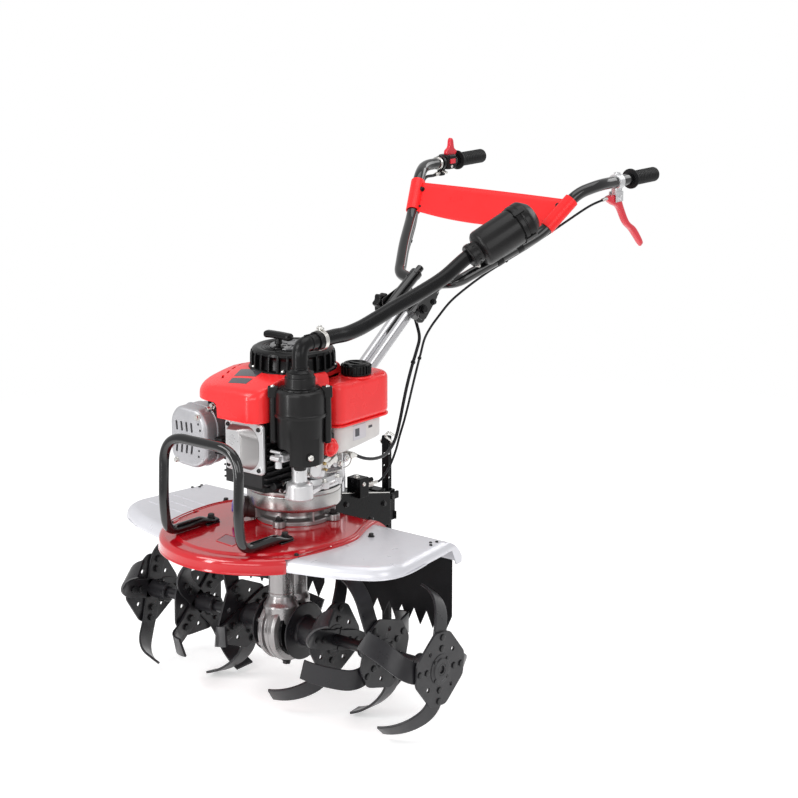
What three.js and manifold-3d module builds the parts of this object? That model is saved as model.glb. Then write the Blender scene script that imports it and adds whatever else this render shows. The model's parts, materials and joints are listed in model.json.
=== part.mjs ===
// Rotary tiller with a vertical-shaft engine: six tine sets on one axle under a worm gearbox,
// a pressed deck with wings, and a tilting two-arm handlebar.
// Millimetres, +Z up, +Y to the rear (operator's side), +X to the operator's left.
import * as THREE from 'three';
import { mergeVertices } from 'three/addons/utils/BufferGeometryUtils.js';
import Module from 'manifold-3d';

const wasm = await Module();
wasm.setup();

// ---------------------------------------------------------------- driving dimensions
const GAP = 0.3; // clearance between pieces that seat on each other
const SEG = 20; // sides of an ordinary round piece
const WIDE = 32; // sides of a drum or plate
const SMALL = 10; // sides of a pin, bolt or boss

const tine = {
  radius: 152, // tip circle
  width: 42,
  thickness: 5,
  straight: 41, // straight length before the blade curves
  sweep: 44, // in-plane curve, degrees
  sweepRadius: 79,
  bend: 84, // sideways bend, degrees
  bendRadius: 106,
  bendLine: 30, // angle of the bend line's normal from the radial direction
  length: 189,
  taperStart: 0.55, // share of the length where the edges start to close
  taper: 0.05,
};
const axle = { height: tine.radius, radius: 12, sleeve: 19, end: 398 };
const hubPlate = { arm: 74, armWidth: 46, thickness: 5, core: 33, sleeveIn: 55, sleeveOut: 4 };
// one row per station: distance from the centre plane, how far each side's set is turned on the
// axle in degrees, and to which side its four blades bend (-1 towards the gearbox)
const stations = [
  { name: 'outer', x: 392, left: 85, right: 78, bends: [-1, -1, -1, -1] },
  { name: 'middle', x: 254, left: 30, right: 44, bends: [-1, -1, -1, -1] },
  { name: 'inner', x: 124, left: 75, right: 22, bends: [1, -1, 1, -1] },
];

const deckTop = 381;
const shaftY = 24; // engine shaft, offset from the axle by the worm's centre distance
const gearbox = { radius: 60, half: 25, rim: 68, rims: [[-25, -12], [-4, 22]], capRadius: 30, capHalf: 33 };
const neck = { frontY: -20, frontR: 25, rearY: 22, rearR: 25 }; // the gearbox's two upright barrels
const deckRearY = tine.radius + 5.7; // the deck ends just in front of the mud flaps
const wingRearY = deckRearY + 12.3; // and the wings just behind them
const deck = {
  thickness: 2.5, radius: 205, centreY: -76, crown: 172, step: 4, round: 12, rimDrop: 34, rearY: deckRearY,
  sideDrop: 7, chamfer: 8, tuck: 12, hole: 60,
};
// the sheet rolls down behind the tines: [y, fall] from where it leaves the level
const rearFall = [[-65.7, 0], [-45.7, 6], [-27.7, 16], [-11.7, 30], [0, 44.7]]
  .map(([y, fall]) => [deckRearY + y, fall]);
// half of the deck's S-shaped side, from its front end to its rear end
const seam = [[166, -196], [187, -100], [189, -10], [160, 62], [146, wingRearY - 60], [146, wingRearY]];
const rimEndY = -190; // behind this line the deck's side stands on the wing
const wing = {
  top: deckTop - deck.sideDrop, thickness: 2.5, drop: 24, round: 20, lip: 58,
  front: [[150, -195], [262, -163], [318, -134]], corner: [[356, -112], [357, -62]], rear: [322, wingRearY],
};
const flap = {
  y: tine.radius + 6, inner: 40, outer: 298, top: 326, bottom: 160, thickness: 3.5, teeth: 8, tooth: 34,
};
const clutch = {
  baseR: 78, baseH: 10, neckR: 64, neckH: 22, shoulder: 8, ringR: 96, height: 77,
  lugR: 13, lugs: [20, 110, 200, 290], lugOut: 84, ribs: 8,
};
const engineZ = deckTop + clutch.height; // everything on the engine is measured up from here
const engine = { plateR: 100, plate: 20, coreHalf: 50, right: 56, left: -59, rear: -6, barrelR: 50 };
const fin = { count: 9, pitch: 12, first: 20, thickness: 3 };
const head = { x: 6, y: -138, w: 100, h: 102, z: engineZ + 100, depth: 16, inset: 16, boss: 12 };
const shroud = {
  bottom: engineZ + 154, top: engineZ + 237, bowlR: 100, frontY: -146, left: -128, right: 56,
  leftRound: 58, rightRound: 34, fall: 42, round: 12,
};
const recoil = { r: 84, rimR: 88, rim: 6, depth: 5, ribs: 22, crownR: 76, top: shroud.top + 40 };
const intake = {
  x: 106, y: -75, r: 49, lowR: 45, bottom: engineZ + 77, seam: engineZ + 152, top: engineZ + 223,
  collarR: 30, collarTop: engineZ + 256, neckR: 15.5, mouthR: 19, turnZ: 766, mouthY: -6,
};
const tank = {
  x0: 54, x1: 122, y0: 18, y1: 192, tailX: 34, tailY: 116, inset: 12,
  bottom: engineZ + 66, seam: engineZ + 124, top: engineZ + 214, slant: 20,
};
const fuelCap = { x: 90, y: 112, r: 31, height: 25, ribs: 14 };
const primer = { y: 9, z: engineZ + 88, r: 18, length: 20 };
const bumperR = 10;
const bumper = { x: 99, footY: -123, frontY: -248, top: deckTop + 208, r: bumperR, z: deckTop + bumperR + 1 };
const stake = { y: 318, bottom: 0, top: deckTop + 108, w: 18, t: 12, play: 0.5, holes: 5, pitch: 26, holeR: 4.3 };
const bracket = {
  half: 30, guideHalf: 15, y0: deckRearY - 39.7, guideY: 294, y1: 328, front: deckTop + 31, rear: 372, bottom: 305,
};
const hinge = { y: 379, z: 757, r: 15, half: 23.2, bolt: 5 };
const column = { x: 12, r: 11, footY: deckRearY - 5.7, bendZ: 576, bend: 60 };
const tubeR = 12.5;
const arm = { x: hinge.half + GAP + tubeR, front: 360, rear: 462, tip: 478, slope: 33, tipR: 8 };
const panel = { low: [182, 634, 910], high: [207, 683, 963], wall: 2, sheet: 2, play: 1.2 };
const grip = { x: 238, y0: 864, y1: 961, z: 993, r: 16, cover: 80, flange: 6 };
const canister = { foot: [123, 469, 876], head: [177, 569, 938], r: 40, collarR: 24, collar: 24, cap: 14 };
const hoseR = 15;
const cableR = { throttle: 3.4, clutch: 2.5 };

// ---------------------------------------------------------------- helpers
const rad = THREE.MathUtils.degToRad;

function solid(geometry) {
  const g = geometry.clone();
  g.deleteAttribute('normal');
  g.deleteAttribute('uv');
  const m = mergeVertices(g, 1e-4);
  return new wasm.Manifold(new wasm.Mesh({
    numProp: 3,
    vertProperties: new Float32Array(m.attributes.position.array),
    triVerts: new Uint32Array(m.index.array),
  }));
}

function geometryOf(manifold) {
  const mesh = manifold.getMesh();
  const g = new THREE.BufferGeometry();
  g.setAttribute('position', new THREE.BufferAttribute(new Float32Array(mesh.vertProperties), 3));
  g.setIndex(new THREE.BufferAttribute(new Uint32Array(mesh.triVerts), 1));
  g.computeVertexNormals();
  return g;
}

const join = (...gs) => geometryOf(gs.map(solid).reduce((a, b) => a.add(b)));
const cut = (g, ...tools) => geometryOf(tools.map(solid).reduce((a, b) => a.subtract(b), solid(g)));
const common = (a, b) => geometryOf(solid(a).intersect(solid(b)));

function box(x0, x1, y0, y1, z0, z1) {
  return new THREE.BoxGeometry(x1 - x0, y1 - y0, z1 - z0)
    .translate((x0 + x1) / 2, (y0 + y1) / 2, (z0 + z1) / 2);
}

// cylinder or cone between two points
function rod(a, b, r, seg = SEG, r2 = r) {
  const p = new THREE.Vector3(...a);
  const q = new THREE.Vector3(...b);
  const d = q.clone().sub(p);
  const g = new THREE.CylinderGeometry(r2, r, d.length(), seg);
  g.applyQuaternion(new THREE.Quaternion().setFromUnitVectors(
    new THREE.Vector3(0, 1, 0), d.clone().normalize()));
  return g.translate(...p.add(q).multiplyScalar(0.5).toArray());
}

// radius of a faceted bore whose flats still clear a pin of radius r
const bored = (r, seg = 12) => (r + GAP) / Math.cos(Math.PI / seg);

// the point a distance past the first of two points, measured along their line
function along(a, b, distance) {
  const p = new THREE.Vector3(...a);
  const step = new THREE.Vector3(...b).sub(p).setLength(distance);
  return p.add(step).toArray();
}

// revolve [radius, z] points about Z, through (x, y)
function turned(profile, x = 0, y = 0, seg = SEG) {
  const g = new THREE.LatheGeometry(profile.map((p) => new THREE.Vector2(...p)), seg);
  return g.rotateX(Math.PI / 2).translate(x, y, 0);
}

// straight runs with rounded corners
function bentPath(points, radius) {
  const path = new THREE.CurvePath();
  const v = points.map((p) => new THREE.Vector3(...p));
  let start = v[0];
  for (let i = 1; i < v.length - 1; i += 1) {
    const back = v[i - 1].clone().sub(v[i]);
    const on = v[i + 1].clone().sub(v[i]);
    const r = Math.min(radius, back.length() * 0.45, on.length() * 0.45);
    const a = v[i].clone().add(back.setLength(r));
    const b = v[i].clone().add(on.setLength(r));
    path.add(new THREE.LineCurve3(start, a));
    path.add(new THREE.QuadraticBezierCurve3(a, v[i], b));
    start = b;
  }
  path.add(new THREE.LineCurve3(start, v[v.length - 1]));
  return path;
}

function polygon(points) {
  const s = new THREE.Shape();
  points.forEach(([x, y], i) => (i ? s.lineTo(x, y) : s.moveTo(x, y)));
  s.closePath();
  return s;
}

// [radius, angle in degrees] points as [x, y]
const polar = (r, degrees) => [r * Math.cos(rad(degrees)), r * Math.sin(rad(degrees))];
const roundSection = (r, seg) =>
  polygon(Array.from({ length: seg }, (_, i) => polar(r, (360 * i) / seg)));

function tube(points, r, bendR = 40, steps = 24, seg = 12) {
  return new THREE.ExtrudeGeometry(roundSection(r, seg), {
    extrudePath: bentPath(points, bendR), steps, bevelEnabled: false,
  });
}

function flexible(points, r, steps, seg = 8) {
  const curve = new THREE.CatmullRomCurve3(
    points.map((p) => new THREE.Vector3(...p)), false, 'centripetal');
  return new THREE.ExtrudeGeometry(roundSection(r, seg), { extrudePath: curve, steps, bevelEnabled: false });
}

function roundedRect(x0, x1, y0, y1, r) {
  const s = new THREE.Shape();
  s.moveTo(x0 + r, y0);
  s.lineTo(x1 - r, y0);
  s.absarc(x1 - r, y0 + r, r, -Math.PI / 2, 0, false);
  s.lineTo(x1, y1 - r);
  s.absarc(x1 - r, y1 - r, r, 0, Math.PI / 2, false);
  s.lineTo(x0 + r, y1);
  s.absarc(x0 + r, y1 - r, r, Math.PI / 2, Math.PI, false);
  s.lineTo(x0, y0 + r);
  s.absarc(x0 + r, y0 + r, r, Math.PI, 1.5 * Math.PI, false);
  s.closePath();
  return s;
}

// a plan carried from z0 up to z1
function slab(shape, z0, z1, bevel = 0, curveSegments = 3) {
  return new THREE.ExtrudeGeometry(shape, {
    depth: z1 - z0 - 2 * bevel,
    bevelEnabled: bevel > 0,
    bevelThickness: bevel,
    bevelSize: bevel,
    bevelOffset: -bevel,
    bevelSegments: 2,
    curveSegments,
  }).translate(0, 0, z0 + bevel);
}

// a side view, in (y, z), carried across from x0 to x1
function cheek(shape, x0, x1, curveSegments = 3) {
  return new THREE.ExtrudeGeometry(shape, { depth: x1 - x0, bevelEnabled: false, curveSegments })
    .rotateX(Math.PI / 2).rotateZ(Math.PI / 2).translate(x0, 0, 0);
}

// a front view, in (x, z), carried back from y0 to y1
function apron(shape, y0, y1, curveSegments = 3) {
  return new THREE.ExtrudeGeometry(shape, { depth: y1 - y0, bevelEnabled: false, curveSegments })
    .rotateX(Math.PI / 2).translate(0, y1, 0);
}

function mirrorX(g) {
  const m = g.clone().applyMatrix4(new THREE.Matrix4().makeScale(-1, 1, 1));
  if (m.index) {
    const index = m.index.array;
    for (let i = 0; i < index.length; i += 3) [index[i], index[i + 1]] = [index[i + 1], index[i]];
  } else {
    const p = m.attributes.position.array;
    for (let i = 0; i < p.length; i += 9) {
      for (let k = 0; k < 3; k += 1) [p[i + k], p[i + 3 + k]] = [p[i + 3 + k], p[i + k]];
    }
  }
  m.computeVertexNormals();
  return m;
}

// ---------------------------------------------------------------- materials
const paint = (color, roughness, metalness) =>
  new THREE.MeshStandardMaterial({ color, roughness, metalness });
const look = {
  blade: paint(0x1b1a1c, 0.5, 0.6),
  casting: paint(0xa3a3a6, 0.45, 0.8),
  redPaint: paint(0xc8161a, 0.3, 0.1),
  greyPaint: paint(0xbfc0c6, 0.35, 0.3),
  blackTube: paint(0x121214, 0.35, 0.3),
  blackPlastic: paint(0x17181a, 0.5, 0.0),
  rubber: paint(0x0e0e10, 0.8, 0.0),
  block: paint(0x232427, 0.6, 0.5),
  chrome: paint(0xd0d0d2, 0.2, 1.0),
  redPlastic: paint(0xd01c1e, 0.35, 0.0),
  bluePlastic: paint(0x1c1c90, 0.4, 0.0),
  tank: paint(0xdedcd8, 0.4, 0.0),
  silver: paint(0xb9babd, 0.35, 0.8),
};

const tiller = new THREE.Group();
tiller.name = 'tiller';
function piece(name, geometry, material) {
  const mesh = new THREE.Mesh(geometry, material);
  mesh.name = name;
  tiller.add(mesh);
  return mesh;
}
const sides = [['left', 1], ['right', -1]];
const onSide = (g, s) => (s > 0 ? g : mirrorX(g));

// ---------------------------------------------------------------- tine rotor
// A blade is a flat strip that curves in its own plane towards its trailing side, and is then
// rolled sideways round an oblique line. u runs along the strip, v across it, w through it.
function bladeGeometry() {
  const g = new THREE.BoxGeometry(tine.length, tine.width, tine.thickness, 8, 2, 1);
  g.translate(tine.length / 2, 0, 0);
  const p = g.attributes.position;
  const n = new THREE.Vector2(...polar(1, tine.bendLine));
  const maxTurn = rad(tine.bend);
  const maxSweep = rad(tine.sweep);
  const R = tine.sweepRadius;
  for (let i = 0; i < p.count; i += 1) {
    const u = p.getX(i);
    const v = p.getY(i) * (1 - tine.taper * Math.max(0, u / tine.length - tine.taperStart));
    const w = p.getZ(i);
    const turn = Math.min(Math.max(0, u - tine.straight) / R, maxSweep);
    const run = Math.max(0, u - tine.straight - maxSweep * R);
    let r = Math.min(u, tine.straight) + R * Math.sin(turn) + run * Math.cos(turn) - v * Math.sin(turn);
    let t = R * (1 - Math.cos(turn)) + run * Math.sin(turn) + v * Math.cos(turn);
    const past = r * n.x + t * n.y - tine.straight * n.x; // distance past the bend line
    let side = w;
    if (past > 0) {
      const angle = Math.min(past / tine.bendRadius, maxTurn);
      const rest = past - angle * tine.bendRadius;
      const onward = (tine.bendRadius - w) * Math.sin(angle) + rest * Math.cos(angle);
      side = tine.bendRadius - (tine.bendRadius - w) * Math.cos(angle) + rest * Math.sin(angle);
      r += (onward - past) * n.x;
      t += (onward - past) * n.y;
    }
    p.setXYZ(i, -side, t, r);
  }
  // slide the blade along its own radius until its farthest corner lies on the tip circle
  let shift = 0;
  for (let pass = 0; pass < 6; pass += 1) {
    let far = 0;
    for (let i = 0; i < p.count; i += 1) far = Math.max(far, Math.hypot(p.getZ(i) + shift, p.getY(i)));
    shift += tine.radius - far;
  }
  return g.translate(0, 0, shift);
}

function tineSet(station, phase) {
  const h = hubPlate;
  const blade = (s) => onSide(bladeGeometry(), -s)
    .translate(s * (h.thickness + tine.thickness) * 0.49, 0, 0).rotateX(Math.PI);
  const arm4 = box(-h.thickness / 2, h.thickness / 2, -h.armWidth / 2, h.armWidth / 2, -h.arm, 0);
  const parts = [rod([-h.thickness / 2, 0, 0], [h.thickness / 2, 0, 0], h.core, 16)];
  for (let k = 0; k < 4; k += 1) {
    const turn = rad(phase + 90 * k);
    parts.push(arm4.clone().rotateX(turn), blade(station.bends[k]).rotateX(turn));
  }
  parts.push(rod([-h.sleeveIn, 0, 0], [h.sleeveOut, 0, 0], axle.sleeve, 12));
  const bore = rod([-100, 0, 0], [100, 0, 0], bored(axle.radius), 12);
  return cut(join(...parts), bore).translate(station.x, 0, axle.height);
}

for (const station of stations) {
  for (const [side, s] of sides) {
    piece(`tine_set_${side}_${station.name}`, onSide(tineSet(station, station[side]), s), look.blade);
  }
}
piece('tine_axle',
  rod([-axle.end, 0, axle.height], [axle.end, 0, axle.height], axle.radius, 12), look.blade);

// ---------------------------------------------------------------- gearbox
{
  const g = gearbox;
  const z = axle.height;
  const across = (half, r, seg) => rod([-half, 0, z], [half, 0, z], r, seg);
  const rims = g.rims.map(([x0, x1]) => rod([x0, 0, z], [x1, 0, z], g.rim, WIDE));
  const plug = rod([6, -12, z - g.rim - 8], [6, -12, z - 30], 8, 6);
  const front = rod([0, neck.frontY, z], [0, neck.frontY, deckTop], neck.frontR);
  const rear = rod([0, neck.rearY, z + 20], [0, neck.rearY, deckTop], neck.rearR);
  const housing = join(across(g.half - 1, g.radius, SEG), ...rims,
    across(g.capHalf, g.capRadius, SEG), plug, front, rear);
  piece('gearbox_housing', cut(housing, across(60, bored(axle.radius), 12)), look.casting);
}

// ---------------------------------------------------------------- deck and wings
// The plan between the two S-shaped sides, with its edges moved in by a distance.
function betweenSeams(inset) {
  const half = new THREE.SplineCurve(seam.map(([x, y]) => new THREE.Vector2(x - inset, y)))
    .getPoints(14).map((p) => [p.x, p.y]);
  const right = [[half[0][0], half[0][1] - 200], ...half];
  return polygon([...right, ...right.map(([x, y]) => [-x, y]).reverse()]);
}

// Side view of the sheet's rear, filled below: level, then rolled down. All faces moved in.
function rearProfile(top, inset, bottom) {
  const roll = rearFall.map(([y, fall]) => [y - inset, top - fall - inset]);
  const [endY] = roll[roll.length - 1];
  return polygon([[-400, bottom], [-400, top - inset], ...roll, [endY, bottom]]);
}

// The deck as a filled form: a stepped round crown in front, flat behind, all faces moved in.
function deckForm(inset) {
  const d = deck;
  const top = deckTop - inset;
  const R = d.radius - inset;
  const low = top - d.step;
  const bottom = deckTop - d.rimDrop - (inset > 0 ? 10 : 0);
  const curl = [30, 60].map((a) => {
    const [dx, dz] = polar(d.round, 90 - a);
    return [R - d.round + dx, low - d.round + dz];
  });
  const crown = turned([[0, top], [d.crown, top], [d.crown + 6, low], [R - d.round, low], ...curl,
    [R, low - d.round], [R, bottom], [0, bottom]].reverse(), 0, d.centreY, 52);
  const level = box(-260, 260, d.centreY, d.rearY, bottom - 30, top);
  const edges = slab(betweenSeams(inset), bottom - 30, top, d.chamfer - 1, 6);
  return common(common(join(crown, level), edges), cheek(rearProfile(deckTop, inset, 200), -260, 260));
}

{
  const d = deck;
  const aboveWing = common(cheek(rearProfile(deckTop - d.sideDrop + GAP, 0, 190), -300, 300),
    box(-300, 300, rimEndY, 400, 200, 400));
  const hole = rod([0, shaftY / 2, 300], [0, shaftY / 2, 400], d.hole, SEG);
  piece('deck', cut(deckForm(0), deckForm(d.thickness), aboveWing, hole), look.redPaint);
}

// A wing as a filled form, rolled down along its front and outer edges, all faces moved in.
function wingForm(inset) {
  const w = wing;
  const s = new THREE.Shape();
  const [control, end] = w.corner.map(([x, y]) => [x - inset, y + inset / 2]);
  s.moveTo(100, w.front[0][1] + inset);
  w.front.forEach(([x, y]) => s.lineTo(x, y + inset));
  s.quadraticCurveTo(...control, ...end);
  s.lineTo(w.rear[0] - inset, w.rear[1]);
  s.lineTo(w.rear[0] - inset, 260);
  s.lineTo(100, 260);
  s.closePath();
  const rolled = new THREE.ExtrudeGeometry(s, {
    depth: 90, bevelThickness: w.round, bevelSize: w.round, bevelOffset: -w.round,
    bevelSegments: 3, curveSegments: 5,
  }).translate(0, 0, w.top - inset - w.round - 90);
  return common(rolled, cheek(rearProfile(w.top, inset, 200), 0, 400));
}

{
  const w = wing;
  const below = cheek(polygon([[-400, 180], [-400, w.top - w.drop], [118, w.top - w.drop],
    [136, w.top - w.lip], [300, w.top - w.lip], [300, 180]]), 0, 400);
  const underDeck = slab(betweenSeams(deck.tuck), 250, 450);
  const rimRoom = box(0, deck.radius, -400, rimEndY + GAP, 200, 400);
  const sheet = cut(wingForm(0), wingForm(w.thickness), below, underDeck, rimRoom);
  const pitch = (flap.outer - flap.inner) / flap.teeth;
  const teeth = Array.from({ length: flap.teeth }, (_, i) => [
    [flap.inner + pitch * (i + 0.5), flap.bottom],
    [flap.inner + pitch * (i + 1), flap.bottom + flap.tooth],
  ]).flat();
  const curtain = apron(polygon([[flap.inner, flap.top], [flap.inner, flap.bottom + flap.tooth], ...teeth,
    [flap.outer, flap.top]]), flap.y, flap.y + flap.thickness);
  for (const [side, s] of sides) {
    piece(`wing_${side}`, onSide(sheet, s), look.greyPaint);
    piece(`mud_flap_${side}`, onSide(curtain, s), look.rubber);
  }
}

// ---------------------------------------------------------------- bumper
{
  const b = bumper;
  const half = [[b.x, b.footY + 18, b.z], [b.x, b.frontY + 8, b.z], [b.x, b.frontY, b.z + 60],
    [b.x, b.frontY + 6, b.top]];
  const hoop = tube([...half, ...half.map(([x, y, z]) => [-x, y, z]).reverse()], b.r, 56, 40, SMALL);
  const foot = box(b.x - 13, b.x + 13, b.footY - 16, b.footY + 22, deckTop + GAP, b.z);
  piece('bumper_hoop', join(hoop, foot, mirrorX(foot)), look.blackTube);
}

// ---------------------------------------------------------------- clutch housing
{
  const c = clutch;
  const z0 = deckTop + GAP;
  const neckZ = deckTop + c.baseH;
  const ringZ = neckZ + c.neckH;
  const body = turned([
    [0, z0], [c.baseR, z0], [c.baseR, neckZ], [c.neckR + 5, neckZ], [c.neckR, neckZ + 5], [c.neckR, ringZ],
    [c.ringR - c.shoulder, ringZ], [c.ringR - 2, ringZ + 3], [c.ringR, ringZ + 8], [c.ringR, engineZ], [0, engineZ],
  ], 0, shaftY, WIDE);
  const lugs = c.lugs.map((a) => {
    const [x, y] = polar(c.lugOut, a);
    return rod([x, y + shaftY, z0], [x, y + shaftY, neckZ + 4], c.lugR, SMALL);
  });
  const ribs = Array.from({ length: c.ribs }, (_, k) =>
    box(c.neckR - 4, c.ringR - c.shoulder - 2, -2, 2, neckZ - 1, ringZ + 1)
      .rotateZ(((k + 0.5) / c.ribs) * 2 * Math.PI).translate(0, shaftY, 0));
  const port = rod([-40, shaftY - 55, neckZ + 10], [-66, shaftY - 84, neckZ + 17], 20, 14);
  const portFace = along([-40, shaftY - 55, neckZ + 10], [-66, shaftY - 84, neckZ + 17], 60);
  const room = rod(portFace, [-66, shaftY - 84, neckZ + 17], 30, SMALL);
  piece('clutch_housing', cut(join(body, ...lugs, ...ribs, port), room), look.casting);
  const face = [-66, shaftY - 84, neckZ + 17];
  const seat = along(face, portFace, GAP);
  piece('oil_filler', join(
    rod(seat, along(face, portFace, 12), 10, SMALL),
    rod(along(face, portFace, 8), along(face, portFace, 20), 14, SMALL),
  ), look.bluePlastic);
}

// ---------------------------------------------------------------- engine
const blockZ = engineZ + GAP + engine.plate + GAP;
{
  const e = engine;
  const z0 = engineZ + GAP;
  const plate = turned([[0, z0], [e.plateR, z0], [e.plateR, z0 + 7], [e.plateR - 6, z0 + 9],
    [e.plateR - 6, blockZ - GAP], [0, blockZ - GAP]], 0, shaftY, WIDE);
  const arm8 = slab(polygon([[30, -10], [82, -100], [118, -88], [90, 10]]), z0, z0 + 9);
  const boss = turned([[0, z0], [27, z0], [27, z0 + 30], [15, z0 + 36], [15, intake.bottom - GAP],
    [0, intake.bottom - GAP]], intake.x - 6, intake.y + 2, SEG);
  piece('engine_base', join(plate, arm8, boss), look.silver);
  const top = shroud.bottom - GAP;
  const front = head.y + head.depth + GAP;
  const fins = Array.from({ length: fin.count }, (_, k) => {
    const z = engineZ + fin.first + 6 + fin.pitch * k;
    return box(e.left, e.right, front + 4, e.rear - 36, z, z + fin.thickness);
  });
  const core = box(-e.coreHalf, e.coreHalf - 4, front, e.rear, blockZ, top);
  const barrel = rod([0, shaftY, blockZ], [0, shaftY, top], e.barrelR, SEG);
  const intakeRoom = rod([intake.x, intake.y, intake.bottom - 9], [intake.x, intake.y, intake.top + 9],
    intake.r + GAP, SEG);
  piece('engine_block', cut(join(core, barrel, ...fins), intakeRoom), look.block);

  const h = head;
  const plateBack = h.y + h.depth;
  const gasket = apron(roundedRect(h.x - h.w / 2, h.x + h.w / 2, h.z - h.h / 2, h.z + h.h / 2, 8),
    plateBack - 6, plateBack);
  const raised = slab(roundedRect(-h.w / 2 + h.inset, h.w / 2 - h.inset, -h.h / 2 + h.inset,
    h.h / 2 - h.inset, 22), 0, h.boss + 6, 5).rotateX(Math.PI / 2).translate(h.x, plateBack - 5, h.z);
  const dish = slab(roundedRect(-h.w / 2 + 28, 2, -h.h / 2 + 26, h.h / 2 - 26, 10), 0, 20)
    .rotateX(Math.PI / 2).translate(h.x, plateBack - 5 - h.boss, h.z);
  piece('head_cover', cut(join(gasket, raised), dish), look.silver);
}

// The shroud is lofted: rings that shrink from the plan outline towards the shaft. The skirt is
// upright, its edge is rounded, and the top falls away the farther it lies from the shaft.
function shroudForm() {
  const q = shroud;
  const outline = new THREE.Shape();
  const back = 20;
  outline.absarc(0, shaftY, q.bowlR, rad(-back), rad(180 + back), false);
  outline.lineTo(q.left, shaftY - 50);
  outline.lineTo(q.left, q.frontY + q.leftRound);
  outline.absarc(q.left + q.leftRound, q.frontY + q.leftRound, q.leftRound, Math.PI, 1.5 * Math.PI, false);
  outline.lineTo(q.right - q.rightRound, q.frontY);
  outline.absarc(q.right - q.rightRound, q.frontY + q.rightRound, q.rightRound, 1.5 * Math.PI, 2 * Math.PI, false);
  outline.lineTo(q.right, shaftY - 90);
  outline.closePath();
  const plan = outline.getSpacedPoints(45).slice(0, -1);
  const reach = Math.max(...plan.map((p) => Math.hypot(p.x, p.y - shaftY)));
  const crownAt = (d) => {
    const out = Math.max(0, (d - recoil.r) / (reach - recoil.r));
    return q.top - q.fall * out ** 1.2;
  };
  const rings = [[1, null, 0], [1, 1, 1], [0.988, 0.35, 1], [0.955, 0, 1], [0.8, 0, 1], [0.55, 0, 1]];
  const points = [];
  for (const [shrink, drop] of rings) {
    for (const p of plan) {
      const x = p.x * shrink;
      const y = shaftY + (p.y - shaftY) * shrink;
      const z = drop === null ? q.bottom : crownAt(Math.hypot(x, y - shaftY)) - drop * q.round;
      points.push(x, y, z);
    }
  }
  const n = plan.length;
  points.push(0, shaftY, q.bottom, 0, shaftY, q.top);
  const low = rings.length * n;
  const index = [];
  for (let j = 0; j < n; j += 1) {
    const k = (j + 1) % n;
    for (let i = 0; i < rings.length - 1; i += 1) {
      const a = i * n;
      const b = a + n;
      index.push(a + j, a + k, b + k, a + j, b + k, b + j);
    }
    index.push(low, k, j);
    index.push(low + 1, (rings.length - 1) * n + j, (rings.length - 1) * n + k);
  }
  const g = new THREE.BufferGeometry();
  g.setAttribute('position', new THREE.BufferAttribute(new Float32Array(points), 3));
  g.setIndex(index);
  return g;
}

// the tank wraps round the rear left of the shroud, so its plan is an L
function tankPlan(inset) {
  const t = tank;
  const s = new THREE.Shape();
  const x1 = t.x1 - inset;
  const y0 = t.y0 + inset;
  const y1 = t.y1 - inset;
  s.moveTo(t.x0, y0);
  s.lineTo(x1 - 24, y0);
  s.quadraticCurveTo(x1, y0, x1, y0 + 24);
  s.lineTo(x1, y1 - 34);
  s.quadraticCurveTo(x1, y1, x1 - 34, y1);
  s.lineTo(t.tailX + 22, y1);
  s.quadraticCurveTo(t.tailX, y1, t.tailX, y1 - 22);
  s.lineTo(t.tailX, t.tailY);
  s.lineTo(t.x0, t.tailY);
  s.closePath();
  return s;
}

{
  const q = shroud;
  const t = tank;
  const tankRoom = [
    box(t.x0 - GAP, 200, t.y0 - GAP, 300, q.bottom - 50, q.top + 50),
    box(t.tailX - GAP, 200, t.tailY - GAP, 300, q.bottom - 50, q.top + 50),
  ];
  const plugNotch = box(q.left - 10, q.left + 42, q.frontY + 30, q.frontY + 74, q.bottom - 5, q.bottom + 24);
  const intakeRoom = rod([intake.x, intake.y, q.bottom - 9], [intake.x, intake.y, q.top + 9], intake.r + 3, SEG);
  const recoilSeat = turned([[0, q.top - recoil.depth], [recoil.rimR + GAP, q.top - recoil.depth],
    [recoil.rimR + GAP, q.top + 20], [0, q.top + 20]], 0, shaftY, WIDE);
  piece('engine_shroud',
    cut(shroudForm(), ...tankRoom, plugNotch, intakeRoom, recoilSeat), look.redPlastic);

  const r = recoil;
  const z0 = q.top - r.depth + GAP;
  const fluted = Array.from({ length: r.ribs * 4 }, (_, i) =>
    polar(i % 4 < 2 ? r.r : r.r - 5, (360 * i) / (r.ribs * 4)));
  piece('recoil_starter', join(
    turned([[0, z0], [r.rimR, z0], [r.rimR, z0 + r.rim], [0, z0 + r.rim]], 0, shaftY, WIDE),
    slab(polygon(fluted), z0 + r.rim - 1, r.top - 9).translate(0, shaftY, 0),
    turned([[0, z0 + 8], [r.r - 6, z0 + 8], [r.r - 6, r.top - 9], [r.crownR, r.top - 2], [r.crownR - 5, r.top],
      [0, r.top]], 0, shaftY, WIDE),
  ), look.blackPlastic);
  piece('starter_handle', join(
    rod([0, -18, r.top + GAP], [0, -18, r.top + 22], 6, 12),
    slab(roundedRect(-35, 35, -27, -9, 8.5), r.top + 19, r.top + 34, 4),
  ), look.blackPlastic);

  const muffler = polygon([[-178, 518], [-160, 500], [-104, 496], [-78, 516], [-78, 586], [-92, 600],
    [-164, 600], [-178, 586]].map(([x, z]) => [x, z - 498]));
  piece('muffler', join(
    apron(muffler, -148, -66).translate(0, 0, engineZ + 40),
    box(-80, engine.left - GAP, -124, -96, engineZ + 70, engineZ + 104),
  ), look.silver);
}

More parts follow.
